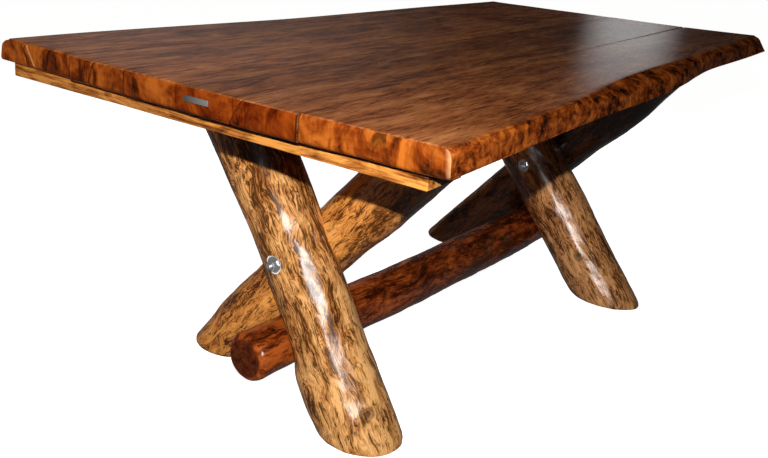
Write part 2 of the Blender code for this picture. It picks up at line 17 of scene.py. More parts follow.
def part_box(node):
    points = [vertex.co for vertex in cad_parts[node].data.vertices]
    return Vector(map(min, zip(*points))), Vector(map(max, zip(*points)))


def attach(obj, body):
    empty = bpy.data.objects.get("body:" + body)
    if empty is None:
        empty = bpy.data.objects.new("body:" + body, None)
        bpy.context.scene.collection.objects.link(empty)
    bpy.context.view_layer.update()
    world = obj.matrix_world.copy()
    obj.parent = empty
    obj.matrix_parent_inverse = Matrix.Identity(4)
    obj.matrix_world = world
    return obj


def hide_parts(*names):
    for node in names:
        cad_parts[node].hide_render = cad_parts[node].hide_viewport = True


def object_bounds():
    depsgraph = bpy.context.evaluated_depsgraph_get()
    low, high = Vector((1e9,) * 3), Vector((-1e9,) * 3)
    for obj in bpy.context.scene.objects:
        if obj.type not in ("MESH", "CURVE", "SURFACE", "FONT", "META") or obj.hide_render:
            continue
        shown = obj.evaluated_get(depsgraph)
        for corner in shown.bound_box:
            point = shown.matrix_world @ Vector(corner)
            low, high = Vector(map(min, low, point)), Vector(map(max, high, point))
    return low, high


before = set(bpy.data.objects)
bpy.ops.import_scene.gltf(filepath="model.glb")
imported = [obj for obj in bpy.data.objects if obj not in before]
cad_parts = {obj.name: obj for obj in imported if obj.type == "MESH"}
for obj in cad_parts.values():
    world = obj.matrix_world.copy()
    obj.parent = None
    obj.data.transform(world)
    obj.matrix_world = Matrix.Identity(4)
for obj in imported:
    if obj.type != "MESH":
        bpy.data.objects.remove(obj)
cad_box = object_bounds()
scene = bpy.context.scene
print("nodes", len(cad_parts), "box", cad_box)

# %% [markdown]
# ## The camera
# The photograph looks along the table from off its near right corner, a little above the top. Three unit
# vectors say which way the camera's right, up and forward point, so we can write them straight into its
# matrix. A small shift takes up the crop of the picture.

# %% Camera at the photographed angle
PICTURE_WIDTH, PICTURE_HEIGHT = 768, 458
FOCAL_PIXELS = 861.52
CENTRE_X, CENTRE_Y = 354.94, 230.61
SENSOR_WIDTH = 36.0
EYE = Vector((-1.8961, -1.0208, 1.0429))
RIGHT = Vector((0.59312, -0.80197, 0.07108))
UP = Vector((0.24536, 0.26414, 0.93275))
FORWARD = Vector((0.76681, 0.53580, -0.35344))


def stand(name, data):
    """Puts a new object with this data into the scene."""
    obj = bpy.data.objects.new(name, data)
    scene.collection.objects.link(obj)
    return obj


camera = stand("camera", bpy.data.cameras.new("camera"))
camera.data.sensor_width = SENSOR_WIDTH
camera.data.lens = FOCAL_PIXELS / PICTURE_WIDTH * SENSOR_WIDTH
camera.data.shift_x = (PICTURE_WIDTH / 2 - CENTRE_X) / PICTURE_WIDTH
camera.data.shift_y = (CENTRE_Y - PICTURE_HEIGHT / 2) / PICTURE_WIDTH
turn = Matrix((RIGHT, UP, -FORWARD)).transposed().to_4x4()
camera.matrix_world = Matrix.Translation(EYE) @ turn
scene.camera = camera
print("lens", round(camera.data.lens, 2))

# %% [markdown]
# ## Node helpers
# Every finish here is a small node tree, and so is every log. A wire stands for a node's output, and sums on
# wires add Math nodes, so a tree reads like plain arithmetic. Short helpers add the other nodes that we use
# often.


# %% Wires
class Wire:
    """A node's output; sums with numbers, tuples or other wires add Math nodes to its tree."""

    def __init__(self, socket):
        self.socket = socket
        self.tree = socket.id_data

    def between(self, operation, *values):
        """One sum of these values, with numbers or with vectors as the wire carries them."""
        kind = "ShaderNodeVectorMath" if self.socket.type == "VECTOR" else "ShaderNodeMath"
        return wire(self.tree, kind, dict(enumerate(values)), operation=operation)

    def reckon(self, operation, *others):
        """One sum of this wire and the other values."""
        return self.between(operation, self, *others)

    def __add__(self, other):
        return self.reckon("ADD", other)

    def __sub__(self, other):
        return self.reckon("SUBTRACT", other)

    def __mul__(self, other):
        return self.reckon("MULTIPLY", other)

    def __truediv__(self, other):
        return self.reckon("DIVIDE", other)

    def __pow__(self, other):
        return self.reckon("POWER", other)

    def __rsub__(self, other):
        return self.between("SUBTRACT", other, self)

    def __rpow__(self, other):
        return self.between("POWER", other, self)


def give(socket, value):
    """Links a wire to an input, or sets the input to a plain value."""
    if isinstance(value, Wire):
        value.tree.links.new(value.socket, socket)
    else:
        socket.default_value = value


def add(tree, kind, feeds=None, **settings):
    """Adds a node; feeds pairs an input's name or number with a value or a wire."""
    made = tree.nodes.new(kind)
    for key, value in settings.items():
        setattr(made, key, value)
    for key, value in (feeds or {}).items():
        give(made.inputs[key], value)
    return made


def wire(tree, kind, feeds=None, output=0, **settings):
    """Adds a node and returns one of its outputs."""
    return Wire(add(tree, kind, feeds, **settings).outputs[output])


print("wires ready")


# %% Helpers for numbers, places and colours
def part_of(vector, axis):
    """The X, Y or Z of a vector."""
    return wire(vector.tree, "ShaderNodeSeparateXYZ", {0: vector}, axis)


def joined(tree, x=0.0, y=0.0, z=0.0):
    """A vector from three numbers or wires."""
    return wire(tree, "ShaderNodeCombineXYZ", {0: x, 1: y, 2: z})


def distance(one, two=(0.0, 0.0, 0.0)):
    """How far one place is from another, or from zero."""
    return wire(one.tree, "ShaderNodeVectorMath", {0: one, 1: two}, "Value", operation="DISTANCE")


def mark(tree, name):
    """The value of an attribute of the mesh."""
    return wire(tree, "ShaderNodeAttribute", output="Fac", attribute_name=name)


def opaque(colour):
    """Gives a plain colour its alpha."""
    return (*colour, 1.0) if isinstance(colour, tuple) else colour


def mix(factor, one, two, blend="MIX"):
    """Mixes two colours; at least one of the three is a wire."""
    tree = next(value.tree for value in (factor, one, two) if isinstance(value, Wire))
    feeds = {0: factor, 6: opaque(one), 7: opaque(two)}
    return wire(tree, "ShaderNodeMix", feeds, 2, data_type="RGBA", blend_type=blend)


def ramp(factor, *stops):
    """Turns a number into a colour or a grey through a row of (place, colour) stops."""
    made = add(factor.tree, "ShaderNodeValToRGB", {0: factor})
    marks = made.color_ramp.elements
    while len(marks) < len(stops):
        marks.new(1.0)
    for stop, (place, colour) in zip(marks, stops):
        stop.position = place
        stop.color = opaque(colour if isinstance(colour, tuple) else (colour, colour, colour))
    return Wire(made.outputs[0])


def grain(vector, stretch, detail=3.0, rough=0.55, warp=0.0):
    """Noise that is drawn out along the wood: stretch sets how fast it changes along each axis."""
    return wire(vector.tree, "ShaderNodeTexNoise", {
        "Vector": vector * stretch, "Scale": 1.0, "Detail": detail, "Roughness": rough, "Distortion": warp})


def wander(vector, stretch, amount):
    """Pushes coordinates about with noise, so that straight grain turns wavy."""
    tree = vector.tree
    feeds = {"Vector": vector * stretch, "Scale": 1.0, "Detail": 2.0}
    push = wire(tree, "ShaderNodeTexNoise", feeds, "Color")
    push = wire(tree, "ShaderNodeVectorMath", {0: push, 1: (0.5, 0.5, 0.5)}, operation="SUBTRACT")
    return vector + push * amount


def bump(height, depth, strength):
    """Fine relief below the size of the mesh."""
    return wire(height.tree, "ShaderNodeBump", {"Height": height, "Distance": depth, "Strength": strength})


def new_finish(name):
    """A new material, its shader, and the table's own coordinates as a wire."""
    material = bpy.data.materials.new(name)
    material.use_nodes = True
    tree = material.node_tree
    return material, tree.nodes["Principled BSDF"], wire(tree, "ShaderNodeTexCoord", output="Object")


def feed(shader, **inputs):
    """Sets or links shader inputs; Base_Color stands for Base Color."""
    for key, value in inputs.items():
        give(shader.inputs[key.replace("_", " ")], value)


print("node helpers ready")

# %% [markdown]
# ## The finish of the top
# The top is softwood, stained a dark reddish brown and varnished to a satin gloss. Wood is solid, so the
# pattern is solid too: growth rings circle a pith that runs along the board below it. On the top face the
# rings show as long streaks, and on the sawn end as arcs, with no seam between. Four attributes on the boards
# say where the sawn end, the live edge, the checks and the seams are, because stain and varnish took
# differently there.

# %% Stained board finish
TOP_DARK = (0.066, 0.016, 0.005)
TOP_MIDDLE = (0.28, 0.084, 0.024)
TOP_LIGHT = (0.54, 0.215, 0.074)
END_DARK = (0.030, 0.007, 0.002)
END_MIDDLE = (0.20, 0.036, 0.004)
END_LIGHT = (0.46, 0.125, 0.017)
EDGE_DARK = (0.016, 0.004, 0.001)
EDGE_MIDDLE = (0.20, 0.036, 0.004)
EDGE_LIGHT = (0.48, 0.125, 0.016)
CRACK_DARK = (0.016, 0.005, 0.002)
CORNER_HIGHLIGHT_PALE = (0.72, 0.40, 0.18)
CHECK_HIGHLIGHT_PALE = (0.74, 0.36, 0.13)
CHECK_HIGHLIGHT_HALF = 0.0036
ANY_LEVEL = 1000.0
# Each knot: its middle (x, y) and its reach along and across.
TOP_KNOTS = (
    ((0.583, -0.149), (0.060, 0.020)),
    ((0.058, -0.382), (0.055, 0.018)),
    ((0.313, -0.187), (0.045, 0.012)),
    ((-0.405, -0.082), (0.100, 0.014)),
    ((-0.62, 0.18), (0.050, 0.013)),
    ((0.35, 0.33), (0.060, 0.018)),
)


def knot_shade(spot, centre, size):
    """A soft dark lens round one knot of the top."""
    scaled = (spot - (*centre, 0.0)) / (*size, ANY_LEVEL)
    return ramp(distance(scaled), (0.0, 1.0), (0.35, 0.8), (1.0, 0.0))


def board_finish(name, pith, shift, face_tint, end_tint, wear_and_corner_highlight, split=None):
    """Stained softwood round a pith; shift makes a board its own, the tints colour its top and its end.

    The argument after the tints paints a pale highlight on the corner where the end meets the live edge, and
    split (its y at the top, its lean) paints a pale highlight along a check on the end.
    """
    material, shader, place = new_finish(name)
    tree = place.tree
    bend = grain(place, (1.6, 6.0, 6.0), 2.0)
    bent = place + joined(tree, y=(bend - 0.5) * 0.05)
    trunk = bent + (shift, -pith[0], -pith[1])
    rings = wire(tree, "ShaderNodeTexWave", {
        "Vector": trunk * (0.05, 1.0, 1.0), "Scale": 26.0, "Distortion": 3.5, "Detail": 3.0,
        "Detail Scale": 1.6, "Detail Roughness": 0.6}, "Fac",
        wave_type="RINGS", rings_direction="X", wave_profile="SAW")
    streak = grain(trunk, (15.0, 140.0, 140.0), 4.0, 0.62, 0.6)
    fine = grain(trunk, (26.0, 420.0, 420.0), 3.0, 0.6)
    broad = grain(trunk, (4.5, 24.0, 24.0), 5.0, 0.64, 0.6)
    cloud = grain(trunk, (5.0, 9.0, 9.0), 3.0, 0.6, 0.8)
    tone = streak * 0.46 + broad * 0.54 + (fine - 0.5) * 0.30 + (cloud - 0.5) * 0.30 - rings * 0.05
    face = ramp(tone, (0.30, TOP_DARK), (0.46, TOP_MIDDLE), (0.66, TOP_LIGHT))
    pores = grain(trunk, (30.0, 330.0, 330.0), 2.0, 0.5, 0.4) + (broad - 0.5) * 0.5
    face = mix(ramp(pores, (0.36, 0.75), (0.44, 0.0)), face, TOP_DARK)
    face = mix(1.0, face, face_tint, "MULTIPLY")
    for centre, size in TOP_KNOTS:
        face = mix(knot_shade(bent, centre, size) * 0.75, face, TOP_DARK)

    blotch = grain(trunk, (9.0, 20.0, 16.0), 4.0, 0.6, 0.8)
    hair = grain(trunk, (30.0, 190.0, 50.0), 4.0, 0.6, 0.4)
    smoke = grain(trunk, (5.0, 26.0, 9.0), 4.0, 0.65, 1.2)
    end_tone = blotch * 0.84 + hair * 0.16 - rings * 0.03
    end = ramp(end_tone, (0.34, END_DARK), (0.45, END_MIDDLE), (0.60, END_LIGHT))
    end = mix(ramp(smoke, (0.56, 0.0), (0.70, 0.82)), end, END_DARK)
    end = mix(1.0, end, end_tint, "MULTIPLY")

    burl = grain(trunk, (52.0, 52.0, 66.0), 5.0, 0.70, 0.5)
    lumps = grain(trunk, (14.0, 17.0, 26.0), 4.0, 0.6, 0.4)
    edge = ramp(burl * 0.52 + lumps * 0.48, (0.42, EDGE_DARK), (0.50, EDGE_MIDDLE), (0.61, EDGE_LIGHT))

    at_end, at_edge = mark(tree, "end_grain"), mark(tree, "live_edge")
    colour = mix(at_end, mix(at_edge, face, edge), end)
    # The corner where the end meets the live edge is paled: a painted highlight.
    corner_highlight = ramp(at_end * (at_edge + (blotch - 0.5) * 0.6), (0.38, 0.0), (0.92, wear_and_corner_highlight))
    colour = mix(corner_highlight, colour, CORNER_HIGHLIGHT_PALE)
    # A pale line painted along one check on the end: a painted highlight.
    if split:
        line = (part_of(place, "Z") - cad_box[1][2]) * split[1] + split[0]
        gap = (part_of(place, "Y") - line).reckon("ABSOLUTE")
        check_highlight = ramp(gap / CHECK_HIGHLIGHT_HALF, (0.3, 0.85), (1.0, 0.0))
        colour = mix(check_highlight * at_end, colour, CHECK_HIGHLIGHT_PALE)
    shut = mark(tree, "crack").reckon("MAXIMUM", mark(tree, "seam") * 0.9)
    colour = mix(shut, colour, CRACK_DARK)
    rough_side = at_edge.reckon("MAXIMUM", at_end * 0.7)
    relief = bump(streak + fine * 0.5, 0.0012, 0.35)
    feed(shader, Base_Color=colour, Roughness=fine * 0.18 + 0.30, Normal=relief, Specular_IOR_Level=0.0,
         Coat_Weight=(1.0 - rough_side * 0.75) * 0.5, Coat_Roughness=0.22)
    return material


# Each board: its pith (y, z), shift, tint of the face, tint of the end, strength of the painted highlight on
# its end corner and, if any, its split.
BOARD_LOOKS = {
    "board_left_edge": ((0.43, 0.56), 0.0, (1.60, 1.54, 1.46), (1.0, 0.94, 0.85), 0.15, (0.4140, 0.62)),
    "board_left_centre": ((0.16, 0.48), 3.1, (1.42, 1.36, 1.30), (0.84, 0.76, 0.64), 0.0),
    "board_right_centre": ((-0.11, 0.52), 6.7, (0.98, 0.96, 0.96), (0.54, 0.36, 0.22), 0.0),
    "board_right_edge": ((-0.37, 0.55), 9.4, (1.0, 0.96, 0.92), (0.86, 0.82, 0.72), 0.45),
}
board_finishes = {name: board_finish("stained_" + name, *look) for name, look in BOARD_LOOKS.items()}
print("board finishes", len(board_finishes))

# %% [markdown]
# ## The boards
# Each board is a skin over a lattice: rows of points along, across and through the thickness. A lattice lets
# us round every arris, open a drying check in the sawn end and swell the live edge, all with sums on arrays
# of points. The outline isn't guessed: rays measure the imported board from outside, and the live edge is
# smoothed afterwards, because a real one has no corners.


# %% Rays that measure a packed board
def ray_tree(node):
    """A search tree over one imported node."""
    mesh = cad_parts[node].data
    points = [vertex.co for vertex in mesh.vertices]
    return BVHTree.FromPolygons(points, [tuple(face.vertices) for face in mesh.polygons])


def measure(tree, start, direction):
    """Where a ray from outside first meets the node."""
    return tree.ray_cast(Vector(start), Vector(direction))[0]


board_low, board_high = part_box("board_left_centre")
TOP_Z = board_high[2]
FOOT_Z = board_low[2]
THICKNESS = TOP_Z - FOOT_Z
FAR_OUT = 3.0
SKIM = 0.0015
EDGE_STATIONS = 90
EDGE_LEVELS = 9
END_CLEAR = 0.014
PROBE_INSET = 0.045
print("board thickness", round(THICKNESS, 4))

# %% Lattice skin
ROUND_STEP = 0.55
ROUND_CORNER = 1 - math.sqrt(0.5)


def lattice_skin(name, counts, point_at):
    """Joins a lattice's outer points with quads; point_at turns lattice numbers into places and marks."""
    along, across, through = counts
    index = {}
    keys = []
    for i in range(along):
        for j in range(across):
            for k in range(through):
                if i in (0, along - 1) or j in (0, across - 1) or k in (0, through - 1):
                    index[i, j, k] = len(keys)
                    keys.append((i, j, k))
    faces = []

    def sheet(fixed, at, first, second, flip):
        for one in range(counts[first] - 1):
            for two in range(counts[second] - 1):
                corners = []
                for d_one, d_two in ((0, 0), (1, 0), (1, 1), (0, 1)):
                    key = [0, 0, 0]
                    key[fixed], key[first], key[second] = at, one + d_one, two + d_two
                    corners.append(index[tuple(key)])
                faces.append(corners[::-1] if flip else corners)

    for fixed, first, second in ((0, 1, 2), (1, 2, 0), (2, 0, 1)):
        sheet(fixed, 0, first, second, True)
        sheet(fixed, counts[fixed] - 1, first, second, False)
    places, marks = point_at(np.array(keys))
    mesh = bpy.data.meshes.new(name)
    mesh.from_pydata([tuple(place) for place in places], [], faces)
    for label, values in marks.items():
        layer = mesh.attributes.new(label, "FLOAT", "POINT")
        layer.data.foreach_set("value", np.asarray(values, dtype=np.float32))
    mesh.shade_smooth()
    return stand(name, mesh)


def lines(length, step, radius, extra=()):
    """Places of lattice lines over a length: close together at the two rounded ends, even between."""
    inner = np.linspace(radius, length - radius, max(int(length / step), 2))
    ends = np.array([0.0, ROUND_STEP * radius])
    every = np.concatenate([ends, inner, length - ends[::-1], np.array(extra)])
    return np.unique(np.round(every, 6)) / length


def outer_flags(keys, counts):
    """For each axis, which lattice points lie on its two outer faces."""
    return [(keys[:, axis] == 0) | (keys[:, axis] == counts[axis] - 1) for axis in range(3)]


def rounded(flag_one, flag_two, gap_one, gap_two, radius):
    """Insets for two faces that meet in a rounded arris, whose edge lies halfway round the arc."""
    both = flag_one & flag_two
    insets = []
    for flag, gap, other_flag, other_gap in (
        (flag_one, gap_two, flag_two, gap_one), (flag_two, gap_one, flag_one, gap_two),
    ):
        near = np.clip(1 - gap / radius, 0.0, 1.0)
        other_near = np.clip(1 - other_gap / radius, 0.0, 1.0)
        fall = np.where(flag, radius * (1 - np.sqrt(1 - near * near / 2)), 0.0)
        slide = np.where(other_flag, ROUND_CORNER * radius * other_near, 0.0)
        insets.append(np.where(both, ROUND_CORNER * radius, fall + slide))
    return insets


def speckle(places, rate, seed):
    """Smooth noise from -1 to 1 at each place; rate is how often it changes in a metre."""
    offset = Vector((seed * 7.3, seed * 3.1, seed * 5.7))
    return np.array([noise.noise(Vector(place * rate) + offset) for place in places])


def waves(places, rows, seed):
    """A sum of noises, each with its rate and its depth."""
    return sum(speckle(places, rate, seed + at) * depth for at, (rate, depth) in enumerate(rows))


print("lattice helpers ready")

# %% [markdown]
# ## Checks, seams and the live edge
# As a thick board dries, its sawn end splits into checks. Three lattice lines stand close together at each
# check, and the middle one is pushed into the wood. The joints carry a thin line of dark stain, and the live
# edge is lumpy and pitted where the bark came off.

# %% Sizes of the boards' detail
BOARD_STEP_ALONG = 0.011
BOARD_STEP_ACROSS = 0.009
BOARD_STEP_THROUGH = 0.006
END_ARRIS, END_INSET, END_FADE = 0.0075, 0.0012, 0.004
ARRIS_RATE, ARRIS_WEAR = 12.0, 0.45
# Waves are pairs of a rate per metre and a depth.
SAW_WAVES = ((26.0, 0.0007), (7.0, 0.0012))
FACE_INSET, FACE_WAVE = 0.0006, ((9.0, 0.0006),)
FACE_STRETCH = np.array([0.35, 1.0, 1.0])
SEAM_ARRIS, SEAM_STAIN, TIGHT_SEAM = 0.0008, 0.0020, 0.55
OPEN_SEAM_Y, OPEN_SEAM_HALF, OPEN_SEAM_FROM, OPEN_SEAM_RATE = -0.25, 0.08, 0.55, 6.0
LIVE_ARRIS, LIVE_INSET, LIVE_FADE, LIVE_SOFTNESS = 0.0075, 0.001, 0.016, 3.2
LIVE_PARTS = (0.12, 0.28, 0.5, 0.75, 1.0)
LIVE_LUMPS = ((7.0, 0.0025), (28.0, 0.0010))
PIT_RATE, PIT_LEVEL, PIT_DEPTH = 60.0, 0.25, 0.0035
LEAN_REACH, CRACK_START, SURFACE_SINK = 0.05, 1.2, 0.25
RAGGED_RATE, RAGGED_SHARE, FOOT_SHARE = 90.0, 0.4, 0.35
SAME_LINE = 1e-5
# Each check: its y at the top, its lean, half its width, its depth and its run along the board.
CHECKS = {
    "board_left_edge": ((0.417, 0.55, 0.0012, 0.012, 0.05),),
    "board_left_centre": ((0.127, 0.0, 0.0010, 0.014, 0.07), (0.208, -0.4, 0.0008, 0.008, 0.03)),
    "board_right_centre": ((-0.146, -0.62, 0.0009, 0.014, 0.06),),
    "board_right_edge": (),
}


def soften(table, width):
    """Gaussian smoothing along the first axis, with the ends held."""
    reach = int(3 * width)
    weights = np.exp(-0.5 * (np.arange(-reach, reach + 1) / width) ** 2)
    weights /= weights.sum()
    before = 2 * table[:1] - table[reach:0:-1]
    after = 2 * table[-1:] - table[-2:-reach - 2:-1]
    padded = np.concatenate([before, table, after])
    return np.stack([np.convolve(column, weights, "valid") for column in padded.T], axis=1)


def side_table(tree, ends, side):
    """Where one side of a board lies across, by station along and level through the thickness."""
    table = np.zeros((EDGE_STATIONS, EDGE_LEVELS))
    for one in range(EDGE_STATIONS):
        share = min(max(one / (EDGE_STATIONS - 1), END_CLEAR), 1 - END_CLEAR)
        x = ends[0] * (1 - share) + ends[1] * share
        for two in range(EDGE_LEVELS):
            z = FOOT_Z + SKIM + (THICKNESS - 2 * SKIM) * two / (EDGE_LEVELS - 1)
            table[one, two] = measure(tree, (x, side * FAR_OUT, z), (0, -side, 0)).y
    return table


def read_table(table, along, through):
    """Bilinear reading of a side table at shares along and through."""
    a = np.clip(along, 0, 1) * (EDGE_STATIONS - 1)
    b = np.clip(through, 0, 1) * (EDGE_LEVELS - 1)
    a0 = np.minimum(a.astype(int), EDGE_STATIONS - 2)
    b0 = np.minimum(b.astype(int), EDGE_LEVELS - 2)
    fa, fb = a - a0, b - b0
    low = table[a0, b0] * (1 - fa) + table[a0 + 1, b0] * fa
    high = table[a0, b0 + 1] * (1 - fa) + table[a0 + 1, b0 + 1] * fa
    return low * (1 - fb) + high * fb


print("checks", sum(len(row) for row in CHECKS.values()))


# %% One detailed board
def board(name, live, seed):
    """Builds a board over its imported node; live is +1 or -1 for the side with a live edge, 0 for none."""
    tree = ray_tree(name)
    low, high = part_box(name)
    middle_z = (TOP_Z + FOOT_Z) / 2
    centre_x = (low[0] + high[0]) / 2
    sides = {}
    for side in (1, -1):
        row_y = measure(tree, (centre_x, side * FAR_OUT, middle_z), (0, -side, 0)).y - side * PROBE_INSET
        ends = [measure(tree, (-way * FAR_OUT, row_y, middle_z), (way, 0, 0)).x for way in (1, -1)]
        table = side_table(tree, ends, side)
        sides[side] = ends, soften(table, LIVE_SOFTNESS) if live == side else table
    left_ends, left_table = sides[1]
    right_ends, right_table = sides[-1]
    width = float(left_table.mean() - right_table.mean())
    length = high[0] - low[0]

    check_lines = []
    near_right, near_left = right_table[0, -1], left_table[0, -1]
    for y, _, half, _, _ in CHECKS[name]:
        spot = (y - near_right) / (near_left - near_right) * width
        check_lines += [spot - half, spot, spot + half]
    fine_lines = [SEAM_STAIN, width - SEAM_STAIN]
    for part in LIVE_PARTS:
        fine_lines.append(part * LIVE_ARRIS if live < 0 else width - part * LIVE_ARRIS)
    tables = (
        lines(length, BOARD_STEP_ALONG, END_ARRIS),
        lines(width, BOARD_STEP_ACROSS, SEAM_ARRIS, check_lines + fine_lines),
        lines(THICKNESS, BOARD_STEP_THROUGH, END_ARRIS),
    )
    counts = tuple(len(table) for table in tables)

    def point_at(keys):
        u, v, w = (table[keys[:, axis]] for axis, table in enumerate(tables))
        flags = outer_flags(keys, counts)
        sizes = (length, width, THICKNESS)
        gaps = [np.minimum(share, 1 - share) * size for share, size in zip((u, v, w), sizes)]
        near = right_ends[0] * (1 - v) + left_ends[0] * v
        far = right_ends[1] * (1 - v) + left_ends[1] * v
        x = near + (far - near) * u
        y_left = read_table(left_table, u, w)
        y_right = read_table(right_table, u, w)
        y = y_right + (y_left - y_right) * v
        z = FOOT_Z + THICKNESS * w

        places = np.stack([x, y, z], axis=1)
        outer = flags[1] & ((v > 0.5) if live > 0 else (v < 0.5)) & (live != 0)
        live_gap = (1 - v if live > 0 else v) * width
        joint_gap = {0: gaps[1], 1: v * width, -1: (1 - v) * width}[live]

        wear_and_corner_highlight = END_ARRIS * (1 + ARRIS_WEAR * speckle(places, ARRIS_RATE, seed + 7))
        end_in, top_in = rounded(flags[0], flags[2], gaps[0], gaps[2], wear_and_corner_highlight)
        side_radius = np.where((live_gap < width / 2) & (live != 0), LIVE_ARRIS, SEAM_ARRIS)
        side_in, top_in_2 = rounded(flags[1], flags[2], gaps[1], gaps[2], side_radius)
        end_in_2, side_in_2 = rounded(flags[0], flags[1], gaps[0], gaps[1], side_radius)

        pits = np.maximum(speckle(places, PIT_RATE, seed + 2) - PIT_LEVEL, 0.0) * PIT_DEPTH
        side_out = np.where(outer, waves(places, LIVE_LUMPS, seed) - pits - LIVE_INSET, 0.0)
        wave = waves(places * FACE_STRETCH, FACE_WAVE, seed + 3)
        saw = waves(places, SAW_WAVES, seed + 4)

        sign = [np.where(share < 0.5, -1.0, 1.0) for share in (u, v, w)]
        x = x - sign[0] * (end_in + end_in_2 + np.where(flags[0], END_INSET + saw, 0.0))
        y = y - sign[1] * (side_in + side_in_2) + sign[1] * side_out
        z = z - sign[2] * (top_in + top_in_2 + np.where(flags[2], FACE_INSET + wave, 0.0))

        cracked = np.zeros(len(x))
        taper = FOOT_SHARE + (1 - FOOT_SHARE) * w
        for (_, lean, half, depth, run), spot in zip(CHECKS[name], check_lines[1::3]):
            middle = np.abs(v - spot / width) < SAME_LINE
            carried = np.clip(1 - np.maximum(np.abs(v * width - spot) - half, 0.0) / LEAN_REACH, 0.0, 1.0)
            fade = np.clip(1 - (u * length) / run, 0.0, 1.0)
            y = y - lean * (TOP_Z - z) * fade * carried
            ragged = 1 + RAGGED_SHARE * speckle(places, RAGGED_RATE, seed + 6)
            x = x + np.where(middle & (keys[:, 0] == 0), depth * ragged * taper, 0.0)
            sink = depth * SURFACE_SINK * fade * np.where(keys[:, 0] > 0, 1.0, 0.0)
            z = z - np.where(middle & (keys[:, 2] == counts[2] - 1), sink, 0.0)
            shown = np.clip(CRACK_START - u * length / run, 0.0, 1.0)
            cracked = np.maximum(cracked, np.where(middle, shown, 0.0))
        opening = np.clip((u - OPEN_SEAM_FROM) * OPEN_SEAM_RATE, 0.0, 1.0)
        open_part = np.where(np.abs(y - OPEN_SEAM_Y) < OPEN_SEAM_HALF, opening, 0.0)
        seam = np.where(flags[0], 1.0, TIGHT_SEAM + (1 - TIGHT_SEAM) * open_part)
        marks = {
            "crack": cracked,
            "seam": np.where(joint_gap < SEAM_STAIN * 0.9, seam, 0.0),
            "end_grain": np.where(flags[0], 1.0, np.clip(1 - gaps[0] / END_FADE, 0, 1)),
            "live_edge": np.where(outer, 1.0, np.clip(1 - live_gap / LIVE_FADE, 0, 1) if live else 0.0),
        }
        return np.stack([x, y, z], axis=1), marks

    obj = lattice_skin("plank_" + name[6:], counts, point_at)
    obj.data.materials.append(board_finishes[name])
    print(obj.name, "faces", len(obj.data.polygons))
    return obj


planks = {
    name: board(name, live, seed)
    for name, live, seed in (
        ("board_left_edge", 1, 1.0), ("board_left_centre", 0, 11.0),
        ("board_right_centre", 0, 21.0), ("board_right_edge", -1, 31.0),
    )
}

# %% [markdown]
# ## The finish of the logs
# The legs are peeled logs, brushed so that dark traces of the bark stay in the hollows, then varnished with
# a thick gloss. The pattern has to run up each log, and each one leans its own way, so a Mapping node turns
# the table's coordinates until their Z axis is the log's own axis. The stretcher got a darker, redder stain.

# %% Log finishes
# Tones run from the dark lines of bark to the palest ground.
LEG_TONES = {
    "leg_near_a": ((0.045, 0.012, 0.002), (0.27, 0.085, 0.015), (0.60, 0.245, 0.064), (0.94, 0.50, 0.18)),
    "leg_near_b": ((0.045, 0.011, 0.002), (0.38, 0.108, 0.014), (0.74, 0.262, 0.048), (0.98, 0.43, 0.10)),
    "leg_far_c": ((0.050, 0.014, 0.004), (0.30, 0.098, 0.026), (0.62, 0.250, 0.080), (0.88, 0.44, 0.17)),
    # Leg D's tones are darkened to paint the shade that it stands in, under the top.
    "leg_far_d": ((0.022, 0.005, 0.002), (0.12, 0.036, 0.008), (0.27, 0.098, 0.024), (0.45, 0.19, 0.052)),
}
STRETCHER_TONES = ((0.010, 0.002, 0.001), (0.06, 0.010, 0.001), (0.26, 0.043, 0.006), (0.50, 0.115, 0.018))
END_TONES = ((0.028, 0.006, 0.002), (0.095, 0.018, 0.004), (0.15, 0.034, 0.009))
RING_SPACE = 0.0042
SWIRL_FOLD = 0.030
BARK_LEVEL = 0.32
# On leg B the rise paints a lit upper part; on the other legs the bark grows denser towards the head.
BARK_AND_PAINTED_LIGHT_RISE = {"leg_near_a": 0.38, "leg_near_b": -0.12, "leg_far_c": 0.22, "leg_far_d": 0.20}
LEG_STREAKY = 0.94
# On the stretcher the rise paints shade that deepens towards its far end.
STRETCHER_PAINTED_SHADE_RISE, STRETCHER_STREAKY = 0.16, 0.62


